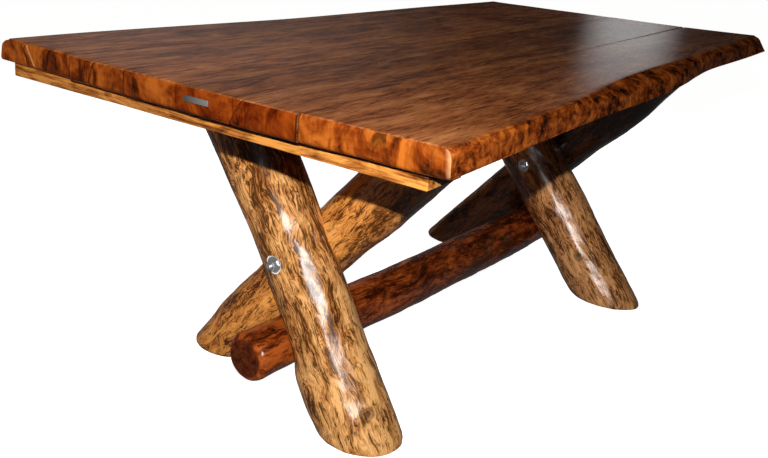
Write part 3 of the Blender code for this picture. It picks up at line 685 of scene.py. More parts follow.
def log_finish(name, axis, start, seed, knots, tones, bark_and_light_rise, streaky):
    """Brushed and varnished log; axis and start place the pattern.

    The rise makes the log lighter at one end and darker at the other: on leg B it paints a lit upper part,
    on the stretcher it paints shade towards its far end, and on the other legs the bark grows denser towards
    the head. streaky sets how dark its lines are.
    """
    material, shader, place = new_finish(name)
    upright = axis.rotation_difference(Vector((0, 0, 1)))
    mapped = wire(place.tree, "ShaderNodeMapping", {
        "Vector": place - tuple(start), "Rotation": upright.to_euler()})
    trunk = mapped + (seed * 1.3, seed * 2.1, seed * 0.7)
    swayed = wander(trunk, (9.0, 9.0, 6.0), (0.060, 0.060, 0.03))
    swayed = wander(swayed, (34.0, 34.0, 20.0), (0.018, 0.018, 0.01))
    patch = grain(swayed, (17.0, 17.0, 6.0), 4.0, 0.6, 0.3)
    dashes = grain(swayed, (190.0, 190.0, 13.0), 3.0, 0.55, 0.5)
    swirl = grain(swayed, (46.0, 46.0, 7.5), 2.0, 0.5, 0.5)
    fine = grain(swayed, (420.0, 420.0, 30.0), 3.0, 0.6)
    zone = grain(swayed, (62.0, 62.0, 15.0), 4.0, 0.62, 0.6)
    # Lighter at one end and darker at the other: bark on some legs, painted light and shade on leg B and the
    # stretcher.
    patch = patch + (BARK_LEVEL - part_of(mapped, "Z")) * bark_and_light_rise
    body = patch * 0.36 + zone * 0.36 + fine * 0.28
    ground = ramp(body, (0.42, tones[1]), (0.49, tones[2]), (0.58, tones[3]))
    density = (patch - 0.5) * 0.55 + (zone - 0.5) * 0.55
    streaks = ramp(dashes + density, (0.41, 1.0), (0.48, 0.0))
    fold = swirl.reckon("PINGPONG", SWIRL_FOLD) * (1 / SWIRL_FOLD)
    wriggle = ramp(fold, (0.0, 1.0), (0.22, 0.9), (0.36, 0.0))
    wriggle = wriggle * ramp(patch * 0.6 + zone * 0.4, (0.46, 1.0), (0.62, 0.10))
    bark = (streaks * 0.9).reckon("MAXIMUM", wriggle)
    colour = mix(bark * streaky, ground, tones[0])
    shaken = wander(place, (70.0, 70.0, 70.0), (0.016, 0.016, 0.016))
    for knot, size in knots:
        eye = ramp(distance(shaken, knot) / size, (0.30, 1.0), (0.55, 0.55), (0.70, 0.75), (1.0, 0.0))
        colour = mix(eye * 0.85, colour, tones[0])

    flat = mapped * (1.0, 1.0, 0.0)
    uneven = grain(trunk, (30.0, 30.0, 0.0), 2.0) * 0.02
    rings = (distance(flat) + uneven).reckon("PINGPONG", RING_SPACE)
    tone = rings * (0.14 / RING_SPACE) + grain(trunk, (60.0, 60.0, 60.0), 4.0) * 0.86
    face = ramp(tone, (0.32, END_TONES[0]), (0.48, END_TONES[1]), (0.68, END_TONES[2]))
    spoke = grain(flat.reckon("NORMALIZE"), (4.0, 4.0, 0.0), 2.0)
    split = ramp((spoke - 0.5).reckon("ABSOLUTE"), (0.0, 1.0), (0.012, 0.0))
    face = mix(split * 0.8, face, END_TONES[0])
    at_end = mark(place.tree, "sawn")
    colour = mix(at_end, colour, face)

    relief = bump(fine * 0.6 - bark * 0.6, 0.0010, 0.45)
    ripple = bump(grain(swayed, (60.0, 60.0, 22.0), 2.0) + dashes * 0.4, 0.004, 0.04)
    feed(shader, Base_Color=colour, Roughness=0.5, Normal=relief, Specular_IOR_Level=0.0,
         Coat_Weight=0.9 - at_end * 0.6, Coat_Roughness=0.20, Coat_IOR=1.5, Coat_Normal=ripple)
    return material


print("leg tones", len(LEG_TONES))

# %% [markdown]
# ## Peeled logs
# A log follows one simple rule: round sections along an axis, with a swell and a sideways wander from foot to
# head, and an uneven skin. That suits Geometry Nodes: a Cylinder node gives a closed shape of unit size, and
# Set Position moves each point out along the log. Two Float Curves hold the swell and the wander. The legs
# are sawn level at floor and head, so their sections stay level instead of square to the axis.


# %% Geometry Nodes in general
def new_tree(name, inputs, output):
    """A Geometry Nodes tree, and wires that carry its named inputs."""
    tree = bpy.data.node_groups.new(name, "GeometryNodeTree")
    for label, kind in inputs:
        tree.interface.new_socket(label, in_out="INPUT", socket_type="NodeSocket" + kind)
    tree.interface.new_socket(output, in_out="OUTPUT", socket_type="NodeSocketGeometry")
    sockets = tree.nodes.new("NodeGroupInput").outputs
    return tree, {label: Wire(sockets[label]) for label, _ in inputs}


def close_tree(geometry, finish, output):
    """Ends a tree: instances become real, get their finish and go out."""
    tree = geometry.tree
    real = wire(tree, "GeometryNodeRealizeInstances", {"Geometry": geometry})
    dressed = wire(tree, "GeometryNodeSetMaterial", {"Geometry": real, "Material": finish})
    add(tree, "NodeGroupOutput", {output: dressed})


def plain_mesh(obj):
    """Turns what the modifiers make into the object's own mesh, and removes them."""
    depsgraph = bpy.context.evaluated_depsgraph_get()
    made = bpy.data.meshes.new_from_object(obj.evaluated_get(depsgraph))
    obj.modifiers.clear()
    obj.data = made
    return obj


def run_tree(name, mesh, tree, values):
    """Runs a tree on a new object with the named input values, and keeps the outcome as plain mesh."""
    obj = stand(name, mesh)
    step = obj.modifiers.new("tree", "NODES")
    step.node_group = tree
    for socket in tree.interface.items_tree:
        if socket.in_out == "INPUT" and socket.name in values:
            step[socket.identifier] = values[socket.name]
    return plain_mesh(obj)


print("tree helpers ready")

# %% The log tree
SWELL_RANGE = 0.014
SWELL_MARGIN = 0.1
LOG_SIDES = 96
CAP_RINGS = 7
CAP_REACH = 0.985
NOISE_SPAN = 2.6
# Lobes, dents and flutes: how fast each changes along the three axes, and its depth.
SKIN_WAVES = (((13.0, 13.0, 6.0), 0.0030), ((34.0, 34.0, 17.0), 0.0016), ((120.0, 120.0, 12.0), 0.0003))
RIM_LENGTH = 0.010
KNOT_RISE, KNOT_DIP, KNOT_NARROW = 0.0028, 0.0030, 9.0
LOG_INPUTS = (
    ("Foot", "Vector"), ("Run", "Vector"), ("Across", "Vector"), ("Other", "Vector"), ("Radius", "Float"),
    ("Seed", "Float"), ("Rings", "Int"), ("Rim", "Float"), ("Dome", "Float"), ("Finish", "Material"),
)


def float_curve(factor, pairs):
    """A smooth curve through (share, change in metres) pairs."""
    made = add(factor.tree, "ShaderNodeFloatCurve", {"Value": factor})
    curve = made.mapping.curves[0]
    spots = [((share + SWELL_MARGIN) / (1 + 2 * SWELL_MARGIN), 0.5 + change / (2 * SWELL_RANGE))
             for share, change in pairs]
    curve.points[0].location = spots[0]
    curve.points[1].location = spots[-1]
    for spot in spots[1:-1]:
        curve.points.new(*spot)
    made.mapping.update()
    return (Wire(made.outputs[0]) - 0.5) * (2 * SWELL_RANGE)


def along(vector, amount):
    """A vector made longer or shorter by a number."""
    return wire(vector.tree, "ShaderNodeVectorMath", {0: vector, "Scale": amount}, operation="SCALE")


def log_tree(name, swell, knots):
    """Geometry Nodes for one log; swell lists (share, change of radius, wander), knots (place, size)."""
    tree, given = new_tree(name, LOG_INPUTS, "Log")
    radius, seed = given["Radius"], given["Seed"]
    stock = wire(tree, "GeometryNodeMeshCylinder", {
        "Vertices": LOG_SIDES, "Side Segments": given["Rings"], "Fill Segments": CAP_RINGS,
        "Radius": 1.0, "Depth": 1.0}, "Mesh", fill_type="TRIANGLE_FAN")
    spot = wire(tree, "GeometryNodeInputPosition")
    side_x, side_y, level = (part_of(spot, axis) for axis in "XYZ")
    share = level + 0.5
    length = distance(given["Run"])
    factor = (share + SWELL_MARGIN) / (1 + 2 * SWELL_MARGIN)
    grow = float_curve(factor, [(at, change) for at, change, _ in swell])
    sway = float_curve(factor, [(at, aside) for at, _, aside in swell])
    skin = spot * joined(tree, radius, radius, length) + joined(tree, seed, seed, seed)
    uneven = radius + grow
    for stretch, depth in SKIN_WAVES:
        uneven = uneven + (grain(skin, stretch, 2.0) - 0.5) * (NOISE_SPAN * depth)
    from_end = share.reckon("MINIMUM", 1.0 - share) * length
    uneven = uneven - wire(tree, "ShaderNodeMapRange", {
        "Value": from_end, "From Min": 0.0, "From Max": RIM_LENGTH, "To Min": given["Rim"], "To Max": 0.0},
        interpolation_type="SMOOTHSTEP")
    reach = distance(spot * (1.0, 1.0, 0.0))
    crown = (1.0 - reach * reach) * given["Dome"] * (level * 2.0)
    place = given["Foot"] + along(given["Run"], share + crown / length)
    place = place + along(given["Across"], side_x * uneven + sway)
    place = place + along(given["Other"], side_y * uneven)
    marked = wire(tree, "GeometryNodeStoreNamedAttribute", {
        "Geometry": stock, "Name": "sawn", "Value": reach.reckon("LESS_THAN", CAP_REACH)},
        data_type="FLOAT", domain="POINT")
    moved = wire(tree, "GeometryNodeSetPosition", {"Geometry": marked, "Position": place})
    for knot, size in knots:
        gap = distance(wire(tree, "GeometryNodeInputPosition"), knot)
        hump = math.e ** (gap ** 2.0 * (-1.0 / size ** 2))
        dip = math.e ** (gap ** 2.0 * (-KNOT_NARROW / size ** 2))
        outward = wire(tree, "GeometryNodeInputNormal")
        offset = along(outward, hump * KNOT_RISE - dip * KNOT_DIP)
        moved = wire(tree, "GeometryNodeSetPosition", {"Geometry": moved, "Offset": offset})
    close_tree(moved, given["Finish"], "Log")
    return tree


print("log tree inputs", len(LOG_INPUTS))

# %% [markdown]
# ## The four legs and the stretcher
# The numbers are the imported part's own: where each log stands, how it leans, and how it swells. Every log is
# grown twice, once for itself and once a hair thicker as a tool, because each log is scribed to its
# neighbour: the crossing logs each give up half of the shared space, and the stretcher sits in a hollow in
# both.

# %% Grow the logs
HEAD_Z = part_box("leg_near_a")[1][2]
# Each leg: x, y at the foot, y at the head, radius, seed, and rows of (share, change of radius, wander).
LEGS = {
    "leg_near_a": (-0.596, -0.172, 0.219, 0.0780, 2.0, (
        (-0.1, 0.004, 0.004), (0.02, 0.006, 0.006), (0.11, 0.008, 0.009), (0.21, 0.002, 0.002),
        (0.30, -0.002, -0.002), (0.54, -0.003, -0.004), (0.72, 0.001, 0.001), (0.90, 0.006, 0.007),
        (1.1, 0.008, 0.008))),
    "leg_near_b": (-0.505, 0.315, -0.261, 0.0700, 5.0, (
        (-0.1, -0.002, -0.003), (0.06, 0.0, 0.0), (0.22, 0.004, 0.004), (0.34, 0.002, 0.004),
        (0.50, -0.003, 0.003), (0.66, 0.001, -0.001), (0.80, 0.001, -0.002), (1.1, 0.002, -0.001))),
    "leg_far_c": (0.475, -0.289, 0.246, 0.0825, 8.0, (
        (-0.1, 0.0, -0.001), (0.08, 0.0, -0.001), (0.25, 0.001, 0.0), (0.45, 0.002, -0.001),
        (0.70, 0.001, 0.001), (1.1, 0.0, 0.002))),
    "leg_far_d": (0.570, 0.289, -0.290, 0.0745, 11.0, (
        (-0.1, 0.001, 0.0), (0.20, -0.001, 0.0), (0.45, -0.001, 0.001), (0.60, 0.0, 0.0),
        (0.75, 0.005, -0.005), (0.90, 0.002, -0.001), (1.1, 0.0, 0.002))),
}
STRETCHER_RADIUS, STRETCHER_SEED = 0.054, 15.0
STRETCHER_SWELL = ((0.0, 0.0, 0.0), (0.15, 0.001, 0.001), (0.35, 0.004, -0.004), (0.55, 0.004, -0.005),
                   (0.75, 0.005, -0.006), (0.88, 0.002, -0.003), (1.0, 0.0, -0.002))
STRETCHER_NEAR = Vector((-0.7198, 0.0555, 0.1422))
STRETCHER_FAR = Vector((0.7098, -0.0110, 0.1461))
STRETCHER_RIM, STRETCHER_DOME = 0.009, 0.004
LEG_RIM, LEG_DOME = 0.0035, 0.0
LOG_RING_STEP = 0.0065
TOOL_GAP = 0.0003
# Each knot: its share along the log, its turn about it in degrees, and its size.
KNOTS = {
    "leg_near_a": ((0.12, 150, 0.020), (0.62, 250, 0.016), (0.80, 20, 0.018), (0.30, 330, 0.015)),
    "leg_near_b": ((0.72, 120, 0.018), (0.15, 40, 0.016), (0.85, 300, 0.018), (0.60, 210, 0.014)),
    "leg_far_c": ((0.20, 110, 0.018), (0.75, 60, 0.018), (0.66, 260, 0.016), (0.10, 320, 0.016)),
    "leg_far_d": ((0.18, 70, 0.018), (0.70, 130, 0.016), (0.80, 250, 0.018), (0.12, 300, 0.015)),
    "stretcher_log": ((0.045, 20, 0.013), (0.42, 160, 0.016), (0.55, 300, 0.015), (0.68, 60, 0.015)),
}
logs, tools, log_lines = {}, {}, {}


def knot_spots(name, foot, run, across, other, radius):
    """Places of a log's knots from their share along it and their turn about it in degrees."""
    spots = []
    for share, degrees, size in KNOTS[name]:
        angle = math.radians(degrees)
        out = Vector(across) * math.cos(angle) + Vector(other) * math.sin(angle)
        spots.append((foot + run * share + out * radius, size))
    return spots


def grow_log(node, foot, run, across, other, radius, seed, swell, rim, dome, look):
    """Grows a log and its tool; look holds the tones, the rise and the streaks of its finish."""
    label = node.removesuffix("_log")
    name = label.removeprefix("leg_")
    spots = knot_spots(node, foot, run, across, other, radius)
    values = {
        "Foot": foot, "Run": run, "Across": across, "Other": other, "Radius": radius, "Seed": seed,
        "Rings": int(run.length / LOG_RING_STEP), "Rim": rim, "Dome": dome,
        "Finish": log_finish("varnished_" + label, run.normalized(), foot, seed, spots, *look),
    }
    tree = log_tree("peeled_" + label, swell, spots)
    logs[node] = run_tree("log_" + name, bpy.data.meshes.new("log_" + name), tree, values)
    wider = {**values, "Radius": radius + TOOL_GAP, "Rim": 0.0}
    tools[node] = run_tree("tool_" + label, bpy.data.meshes.new("tool_" + label), tree, wider)
    log_lines[node] = (foot, radius)
    lows = logs[node].bound_box[0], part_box(node)[0]
    print(logs[node].name, "low corner, then packed", [[round(v, 3) for v in low] for low in lows])


for name, (x, foot_y, head_y, radius, seed, swell) in LEGS.items():
    run = Vector((0.0, head_y - foot_y, HEAD_Z))
    across = (0.0, 1 / run.normalized().z, 0.0)
    look = (LEG_TONES[name], BARK_AND_PAINTED_LIGHT_RISE[name], LEG_STREAKY)
    grow_log(name, Vector((x, foot_y, 0.0)), run, across, (-1.0, 0.0, 0.0), radius, seed, swell,
             LEG_RIM, LEG_DOME, look)
run = STRETCHER_FAR - STRETCHER_NEAR
across = (Vector((0, 0, 1)) - run.normalized() * run.normalized().z).normalized()
look = (STRETCHER_TONES, STRETCHER_PAINTED_SHADE_RISE, STRETCHER_STREAKY)
grow_log("stretcher_log", STRETCHER_NEAR, run, across, run.normalized().cross(across), STRETCHER_RADIUS,
         STRETCHER_SEED, STRETCHER_SWELL, STRETCHER_RIM, STRETCHER_DOME, look)
stretcher = logs.pop("stretcher_log")

# %% Scribe the joints
HALF_REACH = 0.3
BLOCK_HALF, BLOCK_Z = 1.0, 0.3


def trim(obj, cutter, operation):
    """One exact Boolean, applied at once."""
    step = obj.modifiers.new("trim", "BOOLEAN")
    step.operation = operation
    step.solver = "EXACT"
    step.object = cutter
    return plain_mesh(obj)


def stand_shape(name, shape):
    """Turns a bmesh into an object in the scene."""
    mesh = bpy.data.meshes.new(name)
    shape.to_mesh(mesh)
    shape.free()
    return stand(name, mesh)


def box_shape(low, high):
    """A bmesh box between two corners."""
    shape = bmesh.new()
    bmesh.ops.create_cube(shape, size=1.0)
    bmesh.ops.scale(shape, vec=high - low, verts=shape.verts)
    bmesh.ops.translate(shape, vec=(low + high) / 2, verts=shape.verts)
    return shape


def half_space(low_x, high_x):
    """A big block between two places along the table."""
    low = Vector((low_x, -BLOCK_HALF, BLOCK_Z - BLOCK_HALF))
    high = Vector((high_x, BLOCK_HALF, BLOCK_Z + BLOCK_HALF))
    return stand_shape("half", box_shape(low, high))


for first, second in (("leg_near_a", "leg_near_b"), ("leg_far_c", "leg_far_d")):
    (first_foot, first_radius), (second_foot, second_radius) = log_lines[first], log_lines[second]
    lap = (second_foot.x - second_radius + first_foot.x + first_radius) / 2
    scribes = {}
    for name, partner, low_x, high_x in (
        (first, second, lap - TOOL_GAP / 2, lap + HALF_REACH),
        (second, first, lap - HALF_REACH, lap + TOOL_GAP / 2),
    ):
        block = half_space(low_x, high_x)
        scribe = stand("scribe", tools[partner].data.copy())
        scribes[name] = trim(scribe, block, "INTERSECT")
        bpy.data.objects.remove(block)
    for name, scribe in scribes.items():
        trim(logs[name], scribe, "DIFFERENCE")
        trim(logs[name], tools["stretcher_log"], "DIFFERENCE")
        bpy.data.objects.remove(scribe)
        print(logs[name].name, "faces", len(logs[name].data.polygons))
for tool in tools.values():
    bpy.data.objects.remove(tool)

# %% [markdown]
# ## Spot faces and wells
# A round log gives a washer nothing flat to bear on, so each end of a bolt gets a spot face. The lag screws
# under the stretcher sit in deeper wells. Both are cylinders to subtract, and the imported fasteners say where
# they go.

# %% Drill the logs
SPOT_RADIUS = 0.020
WELL_RADIUS = 0.013
LAG_HEAD = 0.006
DRILL_REACH = 0.06
DRILL_SIDES = 64
ON_RIM = 0.9


def drill(obj, ways):
    """Subtracts cylinders, each given as its start, its end and its radius."""
    shape = bmesh.new()
    for start, end, radius in ways:
        run = end - start
        spot = Matrix.Translation((start + end) / 2) @ run.to_track_quat("Z", "Y").to_matrix().to_4x4()
        bmesh.ops.create_cone(shape, cap_ends=True, segments=DRILL_SIDES, radius1=radius, radius2=radius,
                              depth=run.length, matrix=spot)
    bit = stand_shape("bit", shape)
    trim(obj, bit, "DIFFERENCE")
    bpy.data.objects.remove(bit)


def box_face(node, axis, end):
    """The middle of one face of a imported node's box: the low (0) or high (1) end of an axis."""
    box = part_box(node)
    spot = (Vector(box[0]) + Vector(box[1])) / 2
    spot[axis] = box[end][axis]
    return spot


def node_points(node):
    """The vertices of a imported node."""
    return np.array([vertex.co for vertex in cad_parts[node].data.vertices])


def fastener_line(node):
    """The middle of a fastener's head, and the way that the head looks."""
    points = node_points(node)
    centre = points.mean(axis=0)
    axis = np.linalg.svd(points - centre)[2][0]
    reach = (points - centre) @ axis
    away = np.linalg.norm(points - centre - np.outer(reach, axis), axis=1)
    if reach[away > ON_RIM * away.max()].mean() < 0:
        axis, reach = -axis, -reach
    return Vector(centre + axis * reach.max()), Vector(axis)


for place, first, second in (("near", "leg_near_a", "leg_near_b"), ("far", "leg_far_c", "leg_far_d")):
    for end, log, face, way in (("nut", first, 1, -1), ("head", second, 0, 1)):
        seat = box_face(f"cross_washer_{place}_{end}", 0, face)
        drill(logs[log], [(seat, seat + Vector((way * DRILL_REACH, 0, 0)), SPOT_RADIUS)])
for key in "abcd":
    head, outward = fastener_line("stretcher_lag_" + key)
    drill(stretcher, [(head - outward * LAG_HEAD, head + outward * DRILL_REACH, WELL_RADIUS)])
print("stretcher faces", len(stretcher.data.polygons))

# %% [markdown]
# ## Sharp and smooth
# A log's skin shades smoothly, but a sawn end and a scribed joint are crisp. Marking every edge that turns
# more than a set angle as sharp gives both.

# %% Shade the logs
CRISP_ANGLE = math.radians(38)


def crisp(obj):
    """Smooth shading, except over edges that turn more than the set angle."""
    obj.data.shade_smooth()
    obj.data.set_sharp_from_angle(angle=CRISP_ANGLE)


for obj in [*logs.values(), stretcher]:
    crisp(obj)
print("logs shaded", len(logs) + 1)

# %% [markdown]
# ## Battens and bearers
# The cross battens are sawn boards of a paler, yellower wood, screwed under the ends. They are skins over a
# lattice like the boards, with a little saw waviness. The grain runs across the table here.

# %% Sawn boards and their finish
BATTEN_TONES = ((0.026, 0.008, 0.002), (0.30, 0.092, 0.016), (0.64, 0.265, 0.055))
SAWN_ARRIS = 0.0022
SAWN_STEP = 0.012
SAWN_INSET = 0.0004
SAWN_WAVES = ((40.0, 0.0006), (14.0, 0.0009))
SAWN_STRETCH = np.array([1.0, 0.25, 1.0])


def sawn_finish(name, shift):
    """Pale sawn board with dark resin streaks across the table."""
    material, shader, place = new_finish(name)
    trunk = place + (shift, shift * 0.7, shift * 1.3)
    streak = grain(trunk, (120.0, 5.0, 150.0), 4.0, 0.62, 0.5)
    broad = grain(trunk, (30.0, 3.0, 45.0), 3.0, 0.6, 0.6)
    fine = grain(trunk, (420.0, 16.0, 420.0), 3.0, 0.6)
    smudge = grain(trunk, (26.0, 14.0, 60.0), 4.0, 0.65, 1.0)
    tone = streak * 0.5 + broad * 0.5 + (fine - 0.5) * 0.25 + (smudge - 0.5) * 0.60
    colour = ramp(tone, (0.36, BATTEN_TONES[0]), (0.47, BATTEN_TONES[1]), (0.60, BATTEN_TONES[2]))
    feed(shader, Base_Color=colour, Roughness=0.45, Normal=bump(tone, 0.0012, 0.5), Specular_IOR_Level=0.0,
         Coat_Weight=0.35, Coat_Roughness=0.2)
    return material


def sawn_board(node, name, seed):
    """A sawn board over a packed batten or bearer."""
    low, high = (np.array(corner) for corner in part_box(node))
    size = high - low
    tables = [lines(length, SAWN_STEP, SAWN_ARRIS) for length in size]
    counts = tuple(len(table) for table in tables)

    def point_at(keys):
        shares = [table[keys[:, axis]] for axis, table in enumerate(tables)]
        flags = outer_flags(keys, counts)
        gaps = [np.minimum(share, 1 - share) * length for share, length in zip(shares, size)]
        places = low + np.stack(shares, axis=1) * size
        insets = [np.zeros(len(keys)) for _ in range(3)]
        for one, two in ((0, 2), (1, 2), (0, 1)):
            in_one, in_two = rounded(flags[one], flags[two], gaps[one], gaps[two], SAWN_ARRIS)
            insets[one] += in_one
            insets[two] += in_two
        ripple = waves(places * SAWN_STRETCH, SAWN_WAVES, seed)
        for axis in range(3):
            insets[axis] += np.where(flags[axis], np.maximum(SAWN_INSET + ripple, 0.0), 0.0)
        signs = [np.where(share < 0.5, 1.0, -1.0) for share in shares]
        return places + np.stack([sign * inset for sign, inset in zip(signs, insets)], axis=1), {}

    obj = lattice_skin(name, counts, point_at)
    obj.data.materials.append(sawn_finish("sawn_" + name, seed))
    return obj


sawn = {
    node: sawn_board(node, "plank_" + node, seed)
    for node, seed in (("batten_near", 3.0), ("batten_far", 8.0), ("bearer_near", 13.0), ("bearer_far", 18.0))
}
for name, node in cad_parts.items():
    if name.startswith("tongue"):
        node.data.materials.clear()
        node.data.materials.append(sawn["batten_near"].data.materials[0])
print("sawn boards", {name: len(obj.data.polygons) for name, obj in sawn.items()})

# %% [markdown]
# ## Steel
# Bolts, nuts and washers are bright zinc plated steel. A flat grey never looks like metal, so the roughness
# and the tone drift a little, as plating does.

# %% Zinc finish
ZINC_TINT = (0.78, 0.80, 0.83)
ZINC_SHADE = 0.62
zinc, shader, place = new_finish("zinc_plate")
mottle = grain(place, (420.0, 420.0, 420.0), 4.0, 0.6)
scratch = grain(place, (200.0, 2600.0, 900.0), 2.0, 0.5)
colour = ramp(mottle, (0.3, tuple(ZINC_SHADE * part for part in ZINC_TINT)), (0.7, ZINC_TINT))
relief = bump(scratch, 0.0002, 0.3)
feed(shader, Base_Color=colour, Metallic=0.82, Roughness=scratch * 0.22 + 0.24, Normal=relief)
print("finish", zinc.name)

# %% [markdown]
# ## Turned and six-sided masters
# A bolt, a nut and a screw are rows of points about an axis. A row is either round or six-sided; where a
# six-sided row is also held to a largest radius, the corners come out chamfered as on a real nut. A thread is
# made of rows whose radius dips once per turn, with the dip moving on from row to row.

# %% Rows and masters
SIDES = 48
TURN = np.linspace(0.0, 2 * math.pi, SIDES, endpoint=False)
HEX = 1 / np.cos((TURN + math.pi / 6) % (math.pi / 3) - math.pi / 6)
CORNER = 1.155
CHAMFER = (CORNER - 1) * 0.58
# Rows of a chamfer: largest radius and drop below the top, as shares of half the width over flats.
CHAMFER_ROWS = ((CORNER, CHAMFER), (1.08, CHAMFER * 0.5), (0.99, 0.0))
HEAD_FACE = (0.90, 0.2)
PITCH_ROWS = 6


def round_row(radius, height):
    """A round row of points."""
    return np.full(SIDES, radius), np.full(SIDES, height)


def hex_row(flat, limit, height):
    """A six-sided row, held to a largest radius."""
    return np.minimum(flat * HEX, limit), np.full(SIDES, height)


def thread_rows(radius, depth, pitch, low, high):
    """Rows of a screw thread between two heights."""
    rows = []
    for height in np.arange(low, high, pitch / PITCH_ROWS):
        phase = (height / pitch - TURN / (2 * math.pi)) % 1.0
        rows.append((radius - depth * np.abs(2 * phase - 1), np.full(SIDES, height)))
    return rows


def hex_head(flat, height):
    """Rows of a hexagon from its seat at zero up to its chamfered top."""
    rows = [hex_row(flat, flat * CORNER, 0.0)]
    rows += [hex_row(flat, flat * limit, height - drop * flat) for limit, drop in CHAMFER_ROWS]
    return rows + [round_row(flat * share, height) for share in HEAD_FACE]


def master(name, rows, ring=False):
    """Skins rows of points about the Z axis; a ring joins its last row to its first, others are capped."""
    shape = bmesh.new()
    loops = []
    for radius, height in rows:
        points = zip(radius * np.cos(TURN), radius * np.sin(TURN), height)
        loops.append([shape.verts.new(point) for point in points])
    for one, two in zip(loops, loops[1:] + (loops[:1] if ring else [])):
        for index in range(SIDES):
            shape.faces.new((one[index - 1], one[index], two[index], two[index - 1]))
    if not ring:
        shape.faces.new(loops[0])
        shape.faces.new(loops[-1])
    bmesh.ops.recalc_face_normals(shape, faces=shape.faces)
    obj = stand_shape(name, shape)
    crisp(obj)
    return obj


print("sides of a row", SIDES)

# %% Bolts, nuts, washers and screws
BOLT_SHANK, BOLT_FLAT, BOLT_HEAD = 0.006, 0.0095, 0.008
NUT_HEIGHT, NUT_PLAY, NUT_SINK = 0.010, 0.0001, 0.001
WASHER_OUT, WASHER_HIGH, WASHER_PLAY, WASHER_EASE = 0.017, 0.0025, 0.0003, 0.0005
BOLT_THREAD, BOLT_THREADED, BOLT_TIP = (0.0009, 0.00175), 0.030, 0.0012
LAG_SHANK, LAG_FLAT, LAG_THREAD, LAG_TIP, LAG_POINT = 0.005, 0.0085, (0.0012, 0.0035), 0.008, 0.0006
SCREW_SHANK, SCREW_HEAD, SCREW_DEEP, SCREW_RIM = 0.0025, 0.005, 0.004, 0.0004
SCREW_THREAD, SCREW_TIP, SCREW_POINT = (0.0006, 0.0018), 0.005, 0.0004
PLAIN_SHARE = 0.4
RECESS_REACH, RECESS_HALF, RECESS_DEPTH, RECESS_ROWS = 0.0031, 0.0007, 0.0016, 14


def bolt_rows(length):
    """A hexagon bolt, its head above zero and its threaded shank below."""
    thread_end = -length + BOLT_THREADED
    thread = thread_rows(BOLT_SHANK, *BOLT_THREAD, -length + BOLT_TIP, thread_end)
    shank = [round_row(BOLT_SHANK, thread_end), round_row(BOLT_SHANK, 0.0)]
    return [round_row(BOLT_SHANK * 0.75, -length)] + thread + shank + hex_head(BOLT_FLAT, BOLT_HEAD)


def nut_rows():
    """A hexagon nut, chamfered on both faces and countersunk at its bore."""
    bore = BOLT_SHANK + NUT_PLAY
    chamfer = [(BOLT_FLAT * limit, BOLT_FLAT * drop) for limit, drop in CHAMFER_ROWS]
    rows = [round_row(bore, NUT_SINK), round_row(bore + NUT_SINK, 0.0)]
    rows += [hex_row(BOLT_FLAT, limit, drop) for limit, drop in chamfer[::-1]]
    rows += [hex_row(BOLT_FLAT, limit, NUT_HEIGHT - drop) for limit, drop in chamfer]
    return rows + [round_row(bore + NUT_SINK, NUT_HEIGHT), round_row(bore, NUT_HEIGHT - NUT_SINK)]


def washer_rows():
    """A flat washer with stamped, slightly rounded edges."""
    bore, ease = BOLT_SHANK + WASHER_PLAY, WASHER_EASE
    pairs = ((bore, ease), (bore + ease, 0.0), (WASHER_OUT - ease, 0.0), (WASHER_OUT, ease),
             (WASHER_OUT, WASHER_HIGH - ease), (WASHER_OUT - ease, WASHER_HIGH), (bore + ease, WASHER_HIGH),
             (bore, WASHER_HIGH - ease))
    return [round_row(radius, height) for radius, height in pairs]


def lag_rows(length):
    """A hexagon lag screw, its outer face at zero and its coarse thread below."""
    thread_end = -length * PLAIN_SHARE
    thread = thread_rows(LAG_SHANK, *LAG_THREAD, -length + LAG_TIP, thread_end)
    shank = [round_row(LAG_SHANK, thread_end), round_row(LAG_SHANK, -LAG_HEAD)]
    top = [(radius, height - LAG_HEAD) for radius, height in hex_head(LAG_FLAT, LAG_HEAD)]
    return [round_row(LAG_POINT, -length)] + thread + shank + top


def screw_rows(length):
    """A countersunk wood screw, its face at zero with a cross recess, its thread below."""
    rows = [round_row(SCREW_POINT, -length)]
    rows += thread_rows(SCREW_SHANK, *SCREW_THREAD, -length + SCREW_TIP, -length * PLAIN_SHARE)
    rows += [round_row(SCREW_SHANK * 0.9, -SCREW_DEEP), round_row(SCREW_HEAD, -SCREW_RIM)]
    rows.append(round_row(SCREW_HEAD, 0.0))
    for radius in np.linspace(SCREW_HEAD * 0.92, 0.0002, RECESS_ROWS):
        narrow = radius * np.minimum(np.abs(np.sin(TURN)), np.abs(np.cos(TURN)))
        sunk = (narrow < RECESS_HALF) & (radius < RECESS_REACH)
        floor_level = -RECESS_DEPTH * (1 - 0.5 * radius / RECESS_REACH)
        rows.append((np.full(SIDES, radius), np.where(sunk, floor_level, 0.0)))
    return rows


print("rows", {"nut": len(nut_rows()), "washer": len(washer_rows()), "screw": len(screw_rows(0.05))})

# %% [markdown]
# ## One tree sets every fastener
# The tree puts a copy of a master on every point of a small mesh and turns it to the point's own direction,
# which travels along as an attribute. The same tree serves screws, lags, bolts, nuts and washers.

# %% Set the fasteners
FASTENER_INPUTS = (("Points", "Geometry"), ("Master", "Object"), ("Finish", "Material"))
ALONG, DOWN = Vector((1, 0, 0)), Vector((0, 0, -1))
set_fasteners, given = new_tree("set_fasteners", FASTENER_INPUTS, "Fasteners")
aim = wire(set_fasteners, "GeometryNodeInputNamedAttribute", {"Name": "aim"}, "Attribute",
           data_type="FLOAT_VECTOR")
turned = wire(set_fasteners, "FunctionNodeAlignRotationToVector", {"Vector": aim}, "Rotation", axis="Z")
copy = wire(set_fasteners, "GeometryNodeObjectInfo", {"Object": given["Master"]}, "Geometry")
placed = wire(set_fasteners, "GeometryNodeInstanceOnPoints", {
    "Points": given["Points"], "Instance": copy, "Rotation": turned}, "Instances")
close_tree(placed, given["Finish"], "Fasteners")
fastener_nodes = {}


